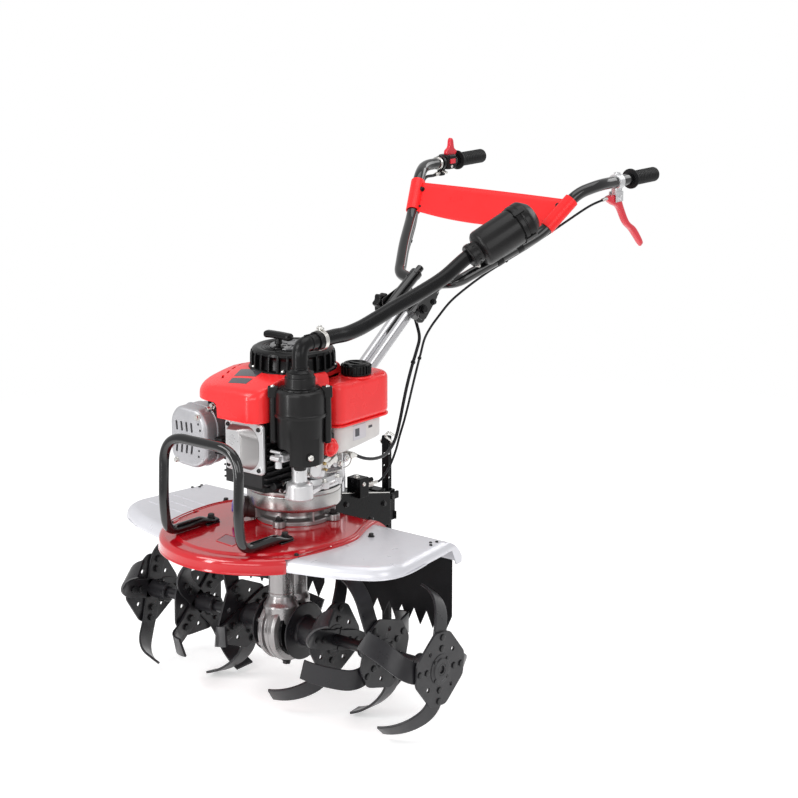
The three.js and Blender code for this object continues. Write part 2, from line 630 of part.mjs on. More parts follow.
{
  const i = intake;
  const upright = (r, z0, z1, seg = SEG + 4) => rod([i.x, i.y, z0], [i.x, i.y, z1], r, seg);
  const ear = (s) => {
    const [dx, dy] = polar(s * (i.r + 3), 39);
    return join(
      slab(roundedRect(-9, 9, -7, 7, 3), i.bottom + 40, i.top + 4).rotateZ(rad(39)).translate(i.x + dx, i.y + dy, 0),
      slab(roundedRect(-12, 12, -9, 9, 4), i.top - 18, i.top + 4).rotateZ(rad(39)).translate(i.x + dx, i.y + dy, 0),
    );
  };
  const mouthCut = box(i.x - 60, i.x + 2, i.y - 60, i.y - 20, i.bottom - 5, i.bottom + 34);
  const back = box(i.x - 14, i.x - 2, i.y + 20, primer.y + 20, primer.z - 19, primer.z + 26);
  const collar = turned([[0, i.top - 1], [i.collarR + 8, i.top - 1], [i.collarR + 8, i.top + 3], [i.collarR, i.top + 5],
    [i.collarR, i.collarTop - 10], [i.collarR - 3, i.collarTop - 9], [i.collarR - 3, i.collarTop - GAP],
    [0, i.collarTop - GAP]], i.x, i.y, SEG);
  const inShroud = shroud.right + 1;
  const blockRoom = box(0, engine.right + GAP, -200, 0, engineZ, shroud.bottom + 2);
  const shroudRoom = box(inShroud - 60, inShroud, i.y - 90, i.y + 60, shroud.bottom - 2, shroud.top);
  piece('intake_box', cut(join(upright(i.lowR, i.bottom, i.seam + 1), upright(i.r, i.seam, i.top),
    upright(i.r + 2, i.seam - 2, i.seam + 4), ear(1), ear(-1), back, collar), mouthCut, shroudRoom, blockRoom),
  look.blackPlastic);
  piece('primer_knob', join(
    rod([i.x - 2 + GAP, primer.y, primer.z], [i.x + 8, primer.y, primer.z], primer.r, SEG),
    rod([i.x + 7, primer.y, primer.z], [i.x - 2 + primer.length, primer.y, primer.z], primer.r, SEG, primer.r - 6),
  ), look.redPlastic);
  const mouth = [i.x, i.mouthY, i.turnZ];
  piece('intake_elbow', join(
    tube([[i.x, i.y, i.collarTop], [i.x, i.y, i.turnZ], mouth], i.neckR, 26, 9, 14),
    rod([i.x, i.y + 24, i.turnZ], mouth, i.mouthR, 14),
    turned([[0, i.collarTop], [i.collarR - 6, i.collarTop], [i.neckR, i.collarTop + 8], [0, i.collarTop + 8]],
      i.x, i.y, 14),
  ), look.blackPlastic);

  const carbZ = engineZ + 48;
  const carbX = engine.coreHalf - 4 + GAP;
  piece('carburettor', join(
    rod([carbX, -22, carbZ], [100, -22, carbZ], 17, 14),
    box(carbX + 12, carbX + 46, -44, 14, carbZ - 16, carbZ + 18),
    turned([[0, carbZ - 26], [16, carbZ - 26], [19, carbZ - 22], [19, carbZ - 8], [0, carbZ - 8]], carbX + 30, 2, 14),
    box(84, 88, 4, 96, carbZ - 2, carbZ + 10),
    rod([72, 92, carbZ + 4], [98, 92, carbZ + 4], 7, SMALL),
    rod([78, 40, carbZ + 4], [96, 40, carbZ + 4], 5, SMALL),
  ), look.silver);
}

{
  const t = tank;
  const lower = slab(tankPlan(t.inset), t.bottom, t.seam, 8);
  const wedge = cheek(polygon([[t.y0, t.bottom - 1], [t.y1 + 1, t.bottom + t.slant], [t.y1 + 1, t.bottom - 20],
    [t.y0, t.bottom - 20]]), t.tailX - 10, t.x1 + 10);
  const primerRoom = box(t.x0, t.x1 + 20, t.y0 - 10, primer.y + primer.r + 4, t.bottom - 5, t.seam);
  piece('fuel_tank', cut(lower, wedge, primerRoom), look.tank);
  piece('tank_shroud', slab(tankPlan(0), t.seam + GAP, t.top, 12), look.redPlastic);
  const c = fuelCap;
  const grips = Array.from({ length: c.ribs * 2 }, (_, k) =>
    polar(k % 2 ? c.r - 1.8 : c.r, (180 * k) / c.ribs));
  piece('fuel_cap', join(
    slab(polygon(grips), t.top + GAP, t.top + c.height - 3).translate(c.x, c.y, 0),
    turned([[0, t.top + 4], [c.r - 4, t.top + 4], [c.r - 4, t.top + c.height], [c.r - 8, t.top + c.height],
      [c.r - 10, t.top + c.height - 2], [0, t.top + c.height - 2]], c.x, c.y, SEG),
  ), look.blackPlastic);
}

// ---------------------------------------------------------------- rear bracket, stake, column
{
  const k = bracket;
  const seat = deckTop + GAP;
  const behind = deck.rearY + 2;
  const under = rearFall.slice(2).map(([y, fall]) => [y + 3 * GAP, seat - fall]);
  const outline = (grow) => polygon([...under.slice(0, 1), [k.y0, seat - 8], [k.y0 - grow, k.front + grow],
    [k.y1 - 24, k.rear + grow], [k.y1 + grow, k.rear + grow], [k.y1 + grow, k.bottom], [behind, k.bottom],
    ...under.slice(1).reverse()]);
  const slopeAt = (y) => k.front + ((y - k.y0) / (k.y1 - 24 - k.y0)) * (k.rear - k.front);
  const slotHalf = [stake.w / 2 + stake.play, stake.t / 2 + stake.play];
  const slot = box(-slotHalf[0], slotHalf[0], stake.y - slotHalf[1], stake.y + slotHalf[1], 200, 500);
  const stopY = k.y0 + 60;
  const stopZ = slopeAt(stopY + 12) + 24;
  const cableStop = box(8, k.half + 14, stopY, stopY + 28, slopeAt(stopY + 28) - 4, stopZ + 10);
  const barrel = rod([36, stopY + 26, stopZ], [38, stopY + 46, stopZ], 5, 10);
  const beside = box(k.guideHalf, 60, k.guideY, 400, 200, 500);
  piece('rear_bracket', cut(join(cheek(outline(0), -k.half, k.half), cableStop, barrel), slot, beside,
    mirrorX(beside)), look.blackPlastic);

  const s = stake;
  const bar = box(-s.w / 2, s.w / 2, s.y - s.t / 2, s.y + s.t / 2, s.bottom, s.top);
  const holes = Array.from({ length: s.holes }, (_, n) => {
    const z = s.top - 14 - s.pitch * n;
    return rod([-40, s.y, z], [40, s.y, z], s.holeR, 8);
  });
  piece('drag_stake', cut(bar, ...holes), look.blackTube);
  piece('stake_pin', join(
    rod([-s.w / 2 - 8, s.y, s.top - 14], [s.w / 2 + 7, s.y, s.top - 14], s.holeR - GAP, 8),
    tube([[s.w / 2 + 6, s.y, s.top - 14], [s.w / 2 + 9, s.y, s.top - 14], [s.w / 2 + 9, s.y - 26, s.top + 6]],
      s.holeR - GAP, 6, 5, 8),
  ), look.blackTube);

  const c = column;
  const rise = Math.atan2(hinge.z - 11 - c.bendZ, hinge.y - c.footY);
  const topY = hinge.y - 2;
  const upright = tube([[c.x, c.footY, seat + 4], [c.x, c.footY, c.bendZ], [c.x, topY, c.bendZ + (topY - c.footY)
    * Math.tan(rise)]], c.r, c.bend, 9, 12);
  const floor = cheek(outline(GAP), -60, 60);
  const barrelTop = rod([-hinge.half, hinge.y, hinge.z], [hinge.half, hinge.y, hinge.z], hinge.r, SEG);
  const boltHole = rod([-60, hinge.y, hinge.z], [60, hinge.y, hinge.z], bored(hinge.bolt, SMALL), SMALL);
  const tie = rod([-c.x, c.footY, 430], [c.x, c.footY, 430], 6, 10);
  piece('handle_column',
    cut(join(upright, mirrorX(upright), barrelTop, tie), floor, boltHole), look.chrome);
}

// ---------------------------------------------------------------- handlebar
// Each side is one tube welded to an arm that turns on the hinge bolt.
const slope = Math.tan(rad(arm.slope));
const armZ = (y) => hinge.z + (y - hinge.y) * slope;
const beyond = (a, b, d) => along(b, a, -d);
{
  const joint = [arm.x, arm.rear - 16, armZ(arm.rear - 16)];
  const low = beyond(panel.high, panel.low, 16);
  const high = beyond(panel.low, panel.high, 22);
  const route = [joint, [78, 458, 806], [130, 539, 853], low, high, [grip.x, 745, grip.z],
    [grip.x, grip.y0 + grip.cover, grip.z]];
  const side = join(
    tube(route, tubeR, 30, 26, SMALL),
    rod([arm.x, arm.front, armZ(arm.front)], [arm.x, arm.rear, armZ(arm.rear)], tubeR, 14),
    rod([arm.x, arm.rear - 5, armZ(arm.rear - 5)], [arm.x, arm.tip, armZ(arm.tip)], arm.tipR, 8),
    cheek(polygon([[366, 765], [374, 727], [392, 724], [448, 780], [440, 800]]), arm.x - 3, arm.x + 3),
  );
  const boltHole = rod([0, hinge.y, hinge.z], [90, hinge.y, hinge.z], bored(hinge.bolt, SMALL), SMALL);
  piece('handlebar_left', cut(side, boltHole), look.blackTube);
  piece('handlebar_right', mirrorX(cut(side, boltHole)), look.blackTube);

  const p = panel;
  const tall = Math.hypot(p.high[1] - p.low[1], p.high[2] - p.low[2]);
  const lean = Math.atan2(p.high[2] - p.low[2], p.high[1] - p.low[1]);
  const [wl, wh] = [p.low[0], p.high[0]];
  const sheet = slab(polygon([[-wl, 0], [wl, 0], [wh, tall], [-wh, tall]]), -p.sheet / 2, p.sheet / 2)
    .rotateX(lean).translate(0, p.low[1], p.low[2]);
  const sleeve = rod(p.low, p.high, tubeR + p.play + p.wall, 14);
  const bore = rod(beyond(p.high, p.low, 20), beyond(p.low, p.high, 20), tubeR + p.play, 14);
  piece('cross_panel', cut(join(sheet, sleeve, mirrorX(sleeve)), bore, mirrorX(bore)), look.redPaint);
}

{
  const g = grip;
  const rubber = cut(join(
    rod([g.x, g.y0, g.z], [g.x, g.y1 - 4, g.z], g.r, 16),
    rod([g.x, g.y1 - 5, g.z], [g.x, g.y1, g.z], g.r, 16, g.r - 5),
    rod([g.x, g.y0, g.z], [g.x, g.y0 + 6, g.z], g.r + g.flange, 16),
  ), rod([g.x, g.y0 - 10, g.z], [g.x, g.y0 + g.cover + GAP, g.z], bored(tubeR, 20), 20));
  for (const [side, s] of sides) piece(`grip_${side}`, onSide(rubber, s), look.rubber);

  const knob = Array.from({ length: 36 }, (_, i) => polar(19 + 2.5 * Math.cos((i / 36) * 12 * Math.PI), 10 * i));
  const outer = arm.x + tubeR;
  piece('column_knob', join(
    slab(polygon(knob), 0, 22).rotateY(-Math.PI / 2).translate(-outer - 6, hinge.y, hinge.z),
    rod([-outer - 8, hinge.y, hinge.z], [-outer - GAP, hinge.y, hinge.z], 10, SMALL),
    rod([-outer - 8, hinge.y, hinge.z], [outer + 4, hinge.y, hinge.z], hinge.bolt, SMALL),
    rod([outer + GAP, hinge.y, hinge.z], [outer + 7, hinge.y, hinge.z], 9, 6),
  ), look.blackPlastic);

  // switch on the right side: a body clamped round the tube, a thumb trigger above it
  const sw = { x: -g.x, y0: 812, y1: 846 };
  const bore = rod([sw.x, 700, g.z], [sw.x, 900, g.z], bored(tubeR, 14), 14);
  piece('throttle_switch', cut(join(
    slab(roundedRect(sw.x - 17, sw.x + 17, sw.y0, sw.y1, 6), g.z - 17, g.z + 19),
    rod([sw.x, sw.y0 - 16, g.z], [sw.x, sw.y0 - 7, g.z], tubeR + 4, 14),
    box(sw.x - 6, sw.x + 6, sw.y0 - 14, sw.y0 + 4, g.z - 30, g.z - 13),
    cheek(polygon([[820, 1010], [858, 1008], [862, 1018], [850, 1024], [846, 1044], [838, 1048], [834, 1026],
      [820, 1020]]), sw.x - 6, sw.x + 6),
  ), bore), look.redPlastic);

  // clutch lever on the left side: a clamp round the tube, its lever swung clear of the grip
  const cl = { x: g.x, y: 813, pivotZ: g.z - 34 };
  const leverBore = rod([cl.x, 700, g.z], [cl.x, 900, g.z], bored(tubeR, 14), 14);
  piece('clutch_lever', cut(join(
    rod([cl.x, cl.y - 11, g.z], [cl.x, cl.y + 11, g.z], tubeR + 4.5, 14),
    box(cl.x - 8, cl.x + 8, cl.y - 13, cl.y + 13, cl.pivotZ - 8, g.z - 13),
    cheek(polygon([[772, 966], [772, 955], [790, 944], [812, 934], [842, 896], [866, 880], [908, 838], [920, 846], [886, 884],
      [858, 902], [834, 938], [822, 960], [796, 968]]), cl.x - 7, cl.x + 7),
  ), leverBore), look.redPlastic);
}

// ---------------------------------------------------------------- air filter, hose and cables
{
  const c = canister;
  const at = (d) => along(c.foot, c.head, d);
  const length = Math.hypot(...c.head.map((v, i) => v - c.foot[i]));
  piece('filter_canister', join(
    rod(at(-c.collar), at(2), c.collarR, 16),
    rod(at(0), at(8), c.r - 12, SEG + 4, c.r),
    rod(at(8), at(length - 30), c.r, SEG + 4),
    rod(at(length - 30), at(length - 6), c.r + 3, SEG + 4),
    rod(at(length - 6), at(length + c.cap), c.r + 3, SEG + 4, c.r - 16),
  ), look.blackPlastic);

  const hoseStart = [intake.x, intake.mouthY + GAP, intake.turnZ];
  const hoseEnd = at(-c.collar - GAP);
  piece('intake_hose', flexible([hoseStart, [106, 30, 766], [106, 60, 765], [107, 105, 770], [107, 152, 780],
    [108, 200, 792], [109, 297, 813], [110, 372, 833], along(hoseEnd, c.foot, -22), hoseEnd],
  hoseR, 22, 10), look.rubber);

  piece('throttle_cable', flexible([[-238, 797.2, 970], [-237, 780, 967], [-233, 745, 967], [-213, 706, 953],
    [-192, 664, 913], [-176, 633, 880], [-131, 551, 834], [-90, 486, 796], [-55, 452, 772], [-20, 425, 744],
    [14, 402, 716], [29, 392, 690], [30, 380, 663], [31, 366, 638], [34, 345, 599], [37, 327, 559],
    [40, 313, 528], [47, 288, 493], [62, 241, 476], [78, 186, 480], [87, 140, 492], [89, 100, 510]],
  cableR.throttle, 42, 8), look.rubber);
  piece('clutch_cable', flexible([[238, 771.3, 960.5], [237, 754, 958], [225, 732, 949],
    [190, 671, 910], [150, 618, 869], [115, 577, 838], [90, 540, 813], [70, 496, 785], [57, 462, 761],
    [50, 431, 734], [45, 408, 711], [42, 393, 690], [42, 382, 656], [42, 378, 626], [43, 374, 594],
    [46, 351, 557], [50, 325, 528], [50, 304, 501], [50, 286, 469], [48, 266, 437], [42, 245, 414], [38, 225, 411.5]],
  cableR.clutch, 42, 8), look.rubber);
}

// the origin lies on the ground under the middle of the overall box
const bounds = new THREE.Box3().setFromObject(tiller);
tiller.position.y = -(bounds.min.y + bounds.max.y) / 2;

export default tiller;
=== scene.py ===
import json

import bmesh
import bpy
import numpy as np
from mathutils import Matrix, Vector

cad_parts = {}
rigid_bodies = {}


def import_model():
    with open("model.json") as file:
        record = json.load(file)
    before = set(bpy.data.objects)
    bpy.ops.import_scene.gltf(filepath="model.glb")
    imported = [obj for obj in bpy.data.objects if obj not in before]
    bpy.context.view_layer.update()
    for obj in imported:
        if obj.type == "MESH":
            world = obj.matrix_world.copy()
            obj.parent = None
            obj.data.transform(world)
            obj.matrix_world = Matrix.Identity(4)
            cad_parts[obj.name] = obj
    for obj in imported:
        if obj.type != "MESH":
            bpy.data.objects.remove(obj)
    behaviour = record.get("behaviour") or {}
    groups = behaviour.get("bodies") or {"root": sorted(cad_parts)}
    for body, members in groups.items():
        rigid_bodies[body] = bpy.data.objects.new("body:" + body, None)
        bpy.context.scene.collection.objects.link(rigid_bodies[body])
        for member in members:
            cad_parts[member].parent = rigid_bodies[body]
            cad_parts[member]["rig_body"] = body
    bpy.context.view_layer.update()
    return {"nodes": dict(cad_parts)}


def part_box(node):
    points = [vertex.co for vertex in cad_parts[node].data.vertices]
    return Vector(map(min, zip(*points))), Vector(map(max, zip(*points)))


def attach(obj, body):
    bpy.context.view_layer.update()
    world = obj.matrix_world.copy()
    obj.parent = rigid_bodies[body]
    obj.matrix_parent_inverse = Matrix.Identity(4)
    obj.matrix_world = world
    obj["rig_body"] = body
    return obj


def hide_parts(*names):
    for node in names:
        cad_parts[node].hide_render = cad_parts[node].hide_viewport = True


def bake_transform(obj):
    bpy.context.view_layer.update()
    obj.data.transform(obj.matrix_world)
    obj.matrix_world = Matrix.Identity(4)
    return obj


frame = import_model()

bl_info = {
    "name": "Rotary tiller",
    "version": (1, 0, 0),
    "blender": (4, 5, 0),
    "location": "3D View > Sidebar > Tiller",
    "description": "Builds the finished pieces and finishes of a walk-behind rotary tiller",
    "category": "Object",
}

AXLE = sum(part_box("tine_axle"), Vector()) / 2  # middle of the tine axle, metres
MM = 0.001
AXLE_Z = 152  # the pieces below are written in millimetres: x across, y behind the axle, z up
TURN = 2 * np.pi


# ---------------------------------------------------------------- settings
def colour_setting(name, description, default):
    """One colour that a user can change."""
    return bpy.props.FloatVectorProperty(name=name, description=description, subtype="COLOR",
                                         size=3, min=0, max=1, default=default)


def length_setting(name, description, default):
    """One length in metres that a user can change."""
    return bpy.props.FloatProperty(name=name, description=description, subtype="DISTANCE",
                                   unit="LENGTH", min=0, precision=4, default=default)


class ColourSettings(bpy.types.PropertyGroup):
    """Colours of the paints, plastics and metals"""

    shroud: colour_setting("Shroud and tank cover", "Moulded red of the engine covers", (0.84, 0.024, 0.026))
    deck: colour_setting("Deck", "Glossy red of the tine deck", (0.47, 0.004, 0.010))
    panel: colour_setting("Cross panel", "Satin red of the panel between the bars", (0.93, 0.020, 0.022))
    lever: colour_setting("Lever and switch", "Red of the clutch lever and the throttle switch",
                          (0.66, 0.012, 0.03))
    wings: colour_setting("Wings", "Silver-grey of the side sheets", (0.64, 0.64, 0.68))
    tubes: colour_setting("Handlebars and bumper", "Black enamel of the bent tubes", (0.004, 0.004, 0.0045))
    blades: colour_setting("Tines", "Black enamel of the blades and the axle", (0.011, 0.0105, 0.0125))
    plastic: colour_setting("Black plastic", "Starter cover, elbow and knobs", (0.003, 0.003, 0.0035))
    canister: colour_setting("Filter housings", "Intake box and filter canister", (0.003, 0.0027, 0.003))
    # On the rocker cover's dome flanks this darker colour is painted shade; on the gear case and the clutch
    # foot it is the cast metal's own tone.
    castings: colour_setting("Castings", "Gear case and rocker cover's flanks", (0.33, 0.32, 0.32))
    bright: colour_setting("Bright castings", "Rocker cover, base plate and carburettor", (0.68, 0.68, 0.69))
    column: colour_setting("Column tubes", "Bright tubes below the hinge", (0.66, 0.66, 0.68))
    muffler: colour_setting("Muffler", "Pressed steel of the muffler box", (0.47, 0.47, 0.49))
    tank: colour_setting("Tank", "Milky plastic of the fuel tank", (0.66, 0.645, 0.63))
    plug: colour_setting("Filler plug", "Blue of the oil filler's plug", (0.03, 0.03, 0.40))


class SizeSettings(bpy.types.PropertyGroup):
    """Small sizes of the finished pieces"""

    block_edge: length_setting("Block edges", "Width of the broken edges of block and bracket", 0.0012)
    blade_edge: length_setting("Blade edges", "How far each blade's long edges are rounded", 0.0016)
    bolt_height: length_setting("Blade bolt heads", "Height of the bolt heads on the hub plates", 0.005)
    grip_groove: length_setting("Grip grooves", "Depth of the grooves round the hand grips", 0.0007)
    vent_width: length_setting("Muffler slots", "Width of the slots in the muffler's face", 0.0052)
    weld_bead: length_setting("Weld bead", "Radius of the bead where bar and arm meet", 0.0013)
    deck_bead: length_setting("Deck bead", "How far the lower edge of the deck's rim stands out", 0.0012)
    tie_length: length_setting("Cable ties", "Length of the ties on both cables", 0.0052)
    hose_clip: length_setting("Hose clip", "Width of the clip on the intake hose", 0.010)


# ---------------------------------------------------------------- points and outlines
def arr(*rows):
    """Rows of numbers as an array."""
    return np.array(rows, float)


def unit(v):
    """The vector divided by its own length."""
    v = np.asarray(v, float)
    return v / np.linalg.norm(v)


def axes_of(direction):
    """Two unit vectors square to a direction, and the direction itself."""
    w = unit(direction)
    u = unit(np.cross(w, (0, 0, 1)) if abs(w[2]) < 0.9 else np.cross((0, 1, 0), w))
    return u, np.cross(w, u), w


def fillet(points, radius, steps=4, closed=False):
    """A line of points with each corner replaced by a quadratic curve that starts and ends a
    radius from the corner, or 0.45 of the shorter side where that is less."""
    p = np.asarray(points, float)
    radii = np.broadcast_to(radius, len(p)).astype(float)
    before = np.roll(p, 1, 0) - p
    after = np.roll(p, -1, 0) - p
    lb, la = np.linalg.norm(before, axis=1), np.linalg.norm(after, axis=1)
    reach = np.minimum(radii, 0.45 * np.minimum(lb, la))
    a = p + before / lb[:, None] * reach[:, None]
    b = p + after / la[:, None] * reach[:, None]
    t = np.linspace(0, 1, steps + 1)[None, :, None]
    arcs = (1 - t) ** 2 * a[:, None] + 2 * t * (1 - t) * p[:, None] + t**2 * b[:, None]
    if closed:
        return arcs.reshape(-1, p.shape[1])
    return np.vstack([p[:1], arcs[1:-1].reshape(-1, p.shape[1]), p[-1:]])


def even(points, count):
    """The same line with points at even distances along it."""
    p = np.asarray(points, float)
    step = np.linalg.norm(np.diff(p, axis=0), axis=1)
    s = np.r_[0, np.cumsum(step)]
    want = np.linspace(0, s[-1], count)
    return np.stack([np.interp(want, s, p[:, k]) for k in range(p.shape[1])], axis=1)


def flowing(points, count):
    """A smooth line through points: cubic pieces whose tangents are the Catmull-Rom ones."""
    p = np.asarray(points, float)
    d = np.sqrt(np.linalg.norm(np.diff(p, axis=0), axis=1))
    s = np.r_[0, np.cumsum(d)]
    m = np.gradient(p, s, axis=0)
    want = np.linspace(0, s[-1], count)
    i = np.clip(np.searchsorted(s, want, side="right") - 1, 0, len(p) - 2)
    h = (s[i + 1] - s[i])[:, None]
    t = ((want - s[i]) / (s[i + 1] - s[i]))[:, None]
    return (
        (2 * t**3 - 3 * t**2 + 1) * p[i] + (t**3 - 2 * t**2 + t) * h * m[i]
        + (-2 * t**3 + 3 * t**2) * p[i + 1] + (t**3 - t**2) * h * m[i + 1]
    )


def rectangle(x0, x1, y0, y1, radius=0.0, steps=5):
    """The four corners in order round the middle, rounded when a radius is given."""
    corners = arr((x0, y0), (x1, y0), (x1, y1), (x0, y1))
    return fillet(corners, radius, steps, closed=True) if radius else corners


def circle(r, count=32, at=(0, 0)):
    """Points at equal angles: centre plus radius times cosine and sine."""
    a = np.linspace(0, TURN, count, endpoint=False)
    return np.c_[at[0] + r * np.cos(a), at[1] + r * np.sin(a)]


def moved_in(outline, distance):
    """A closed outline with every side moved inwards by a distance, corners kept sharp."""
    p = np.asarray(outline, float)
    area = 0.5 * np.sum(p[:, 0] * np.roll(p[:, 1], -1) - np.roll(p[:, 0], -1) * p[:, 1])
    side = np.roll(p, -1, 0) - p
    side /= np.maximum(np.linalg.norm(side, axis=1), 1e-9)[:, None]
    normal = np.c_[-side[:, 1], side[:, 0]] * np.sign(area)
    back = np.roll(normal, 1, 0)
    both = (normal + back) / np.maximum(1 + np.sum(normal * back, axis=1), 0.35)[:, None]
    return p + both * distance


# ---------------------------------------------------------------- solids as (points, faces)
def grid(points, wrap=True):
    """Faces between neighbours of a grid of points, [along, around]; wrap joins the last column
    to the first."""
    n, m = points.shape[:2]
    i, j = np.meshgrid(np.arange(n - 1), np.arange(m if wrap else m - 1), indexing="ij")
    i, j = i.ravel(), j.ravel()
    k = (j + 1) % m
    faces = np.stack([i * m + j, i * m + k, (i + 1) * m + k, (i + 1) * m + j], axis=1)
    return points.reshape(-1, 3), faces.tolist()


def lofted(rings):
    """A closed solid through rings of points, with a flat face on its first and last ring."""
    points, faces = grid(np.asarray(rings, float))
    n, m = len(rings), len(rings[0])
    return points, faces + [list(range(m - 1, -1, -1)), list(range((n - 1) * m, n * m))]


def turned(profile, at=(0, 0, 0), axis=(0, 0, 1), seg=40, edge=0.0):
    """[radius, height] points carried round an axis."""
    profile = np.asarray(profile, float)
    if edge:
        profile = fillet(profile, edge, 3)
    u, v, w = axes_of(axis)
    a = np.linspace(0, TURN, seg, endpoint=False)
    spoke = np.cos(a)[:, None] * u + np.sin(a)[:, None] * v
    rings = np.asarray(at, float) + profile[:, 1, None, None] * w + profile[:, 0, None, None] * spoke
    return lofted(rings)


def rod(a, b, r, seg=32, edge=0.8, r2=None):
    """A round bar between two points, its rims rounded."""
    length = np.linalg.norm(np.subtract(b, a))
    r2 = r if r2 is None else r2
    return turned([(0, 0), (r, 0), (r2, length), (0, length)], a, np.subtract(b, a), seg, edge)


def ring(at, axis, r, thick, seg=40, around=10):
    """A torus: a small circle carried round a big one."""
    a = np.linspace(0, TURN, around, endpoint=False)
    profile = np.c_[r + thick * np.cos(a), thick * np.sin(a)]
    u, v, w = axes_of(axis)
    b = np.linspace(0, TURN, seg, endpoint=False)
    spoke = np.cos(b)[:, None] * u + np.sin(b)[:, None] * v
    points = np.asarray(at, float) + profile[:, 1, None, None] * w + profile[:, 0, None, None] * spoke
    p, f = grid(np.concatenate([points, points[:1]]))
    return p, f


def swept(path, section, up=None):
    """A flat section [side, rise] carried along a path without twisting: each frame is the one
    before it, turned by the least that lines it up with the path. section may be one outline or
    one for each path point."""
    p = np.asarray(path, float)
    t = np.gradient(p, axis=0)
    t /= np.linalg.norm(t, axis=1)[:, None]
    side = np.empty_like(p)
    first = np.cross(t[0], up if up is not None else axes_of(t[0])[0])
    side[0] = unit(first)
    for i in range(1, len(p)):
        s = side[i - 1] - t[i] * np.dot(side[i - 1], t[i])
        side[i] = s / np.linalg.norm(s)
    rise = np.cross(side, t)
    sec = np.asarray(section, float)
    sec = np.broadcast_to(sec, (len(p),) + sec.shape[-2:])
    rings = p[:, None] + sec[..., 0:1] * side[:, None] + sec[..., 1:2] * rise[:, None]
    return lofted(rings)


def tube(path, r, seg=20):
    """A round section carried along a path; r may change along it."""
    r = np.broadcast_to(r, len(path))[:, None, None]
    return swept(path, circle(1, seg)[None] * r)


def slab(outline, z0, z1, edge=1.0, steps=3):
    """A plan carried upwards, with its top and bottom rims rounded by quarter circles."""
    o = np.asarray(outline, float)
    a = np.linspace(0, np.pi / 2, steps + 1) if edge else np.array([np.pi / 2])
    inset, rise = edge * (1 - np.sin(a)), edge * (1 - np.cos(a))
    low = [np.c_[moved_in(o, i), np.full(len(o), z0 + h)] for i, h in zip(inset, rise)]
    high = [np.c_[moved_in(o, i), np.full(len(o), z1 - h)] for i, h in zip(inset[::-1], rise[::-1])]
    return lofted(np.array(low + high))


def brick(x0, x1, y0, y1, z0, z1, edge=1.0):
    """A rectangle raised from z0 to z1, with rounded corners and edges."""
    corner = min(3 * edge, 0.3 * min(x1 - x0, y1 - y0))
    return slab(rectangle(x0, x1, y0, y1, max(corner, 0.01), 3), z0, z1, edge, 2)


def laid(solid, right, up, at=(0, 0, 0)):
    """A solid made in plan, set up so that its x runs along right, its y along up."""
    x, y = unit(right), unit(up)
    return np.asarray(solid[0]) @ np.array([x, y, np.cross(x, y)]) + np.asarray(at, float), solid[1]


def fronted(solid, y=0.0):
    """A solid made in plan turned to face the front: its y goes up and its top faces forward."""
    return laid(solid, (1, 0, 0), (0, 0, 1), (0, y, 0))


def mirrored(solid):
    """The solid with x negated, and its faces turned over so that they still point out."""
    return np.asarray(solid[0]) * (-1, 1, 1), [f[::-1] for f in solid[1]]


def both(solid):
    """The solid and its mirror image."""
    return [solid, mirrored(solid)]


def shifted(solid, dx=0.0, dy=0.0, dz=0.0):
    """The solid moved by the three distances."""
    return np.asarray(solid[0]) + (dx, dy, dz), solid[1]


def spun(solid, degrees, at=(0, 0, 0), axis=(0, 0, 1)):
    """A solid turned round an axis through a point."""
    m = np.array(Matrix.Rotation(np.radians(degrees), 3, Vector(axis)))
    return (np.asarray(solid[0]) - at) @ m.T + at, solid[1]


def bolt(at, axis, across=10.0, tall=6.0, washer=True, turn=0.0):
    """A hexagon head with a chamfered top, on a round washer."""
    r = across / 2 / np.cos(np.pi / 6)
    lift = 1.4 if washer else 0
    head = turned([(0, lift), (r * 0.96, lift), (r, lift + 0.5), (r, lift + tall * 0.82),
                   (r * 0.87, lift + tall), (0, lift + tall)], at, axis, 6)
    parts = [spun(head, turn, at, axis)]
    if washer:
        parts.append(turned([(0, -0.2), (r * 1.28, -0.2), (r * 1.28, 1.4), (0, 1.4)], at, axis, 24, 0.3))
    return parts


def screw(at, axis, r=4.0, tall=2.6):
    """A domed head with a round driving recess."""
    return [turned([(0, tall * 0.35), (r * 0.36, tall * 0.35), (r * 0.42, tall), (r * 0.75, tall * 0.86),
                    (r, tall * 0.25), (r, -0.3), (0, -0.3)], at, axis, 24, 0.25)]


def form(solid):
    """A solid as a clean Blender object, for the booleans."""
    mesh = bpy.data.meshes.new("form")
    mesh.from_pydata(np.asarray(solid[0], float).tolist(), [], solid[1])
    bm = bmesh.new()
    bm.from_mesh(mesh)
    bmesh.ops.remove_doubles(bm, verts=bm.verts, dist=0.002)
    bmesh.ops.recalc_face_normals(bm, faces=bm.faces)
    bm.to_mesh(mesh)
    bm.free()
    thing = bpy.data.objects.new("form", mesh)
    bpy.context.scene.collection.objects.link(thing)
    return thing


def combined(solid, *steps):
    """A solid with others joined to it, kept in common or taken out, by the exact boolean."""
    base = form(solid)
    others = [form(other) for other, _ in steps]
    for other, (_, operation) in zip(others, steps):
        mod = base.modifiers.new("cut", "BOOLEAN")
        mod.object, mod.operation, mod.solver = other, operation, "EXACT"
    bpy.context.view_layer.update()
    out = base.evaluated_get(bpy.context.evaluated_depsgraph_get()).to_mesh()
    points = np.empty(len(out.vertices) * 3)
    out.vertices.foreach_get("co", points)
    faces = [list(face.vertices) for face in out.polygons]
    for thing in [base] + others:
        mesh = thing.data
        bpy.data.objects.remove(thing)
        bpy.data.meshes.remove(mesh)
    return points.reshape(-1, 3), faces


def carved(solid, cutters):
    """The solid less every cutter."""
    return combined(solid, *((cutter, "DIFFERENCE") for cutter in cutters))


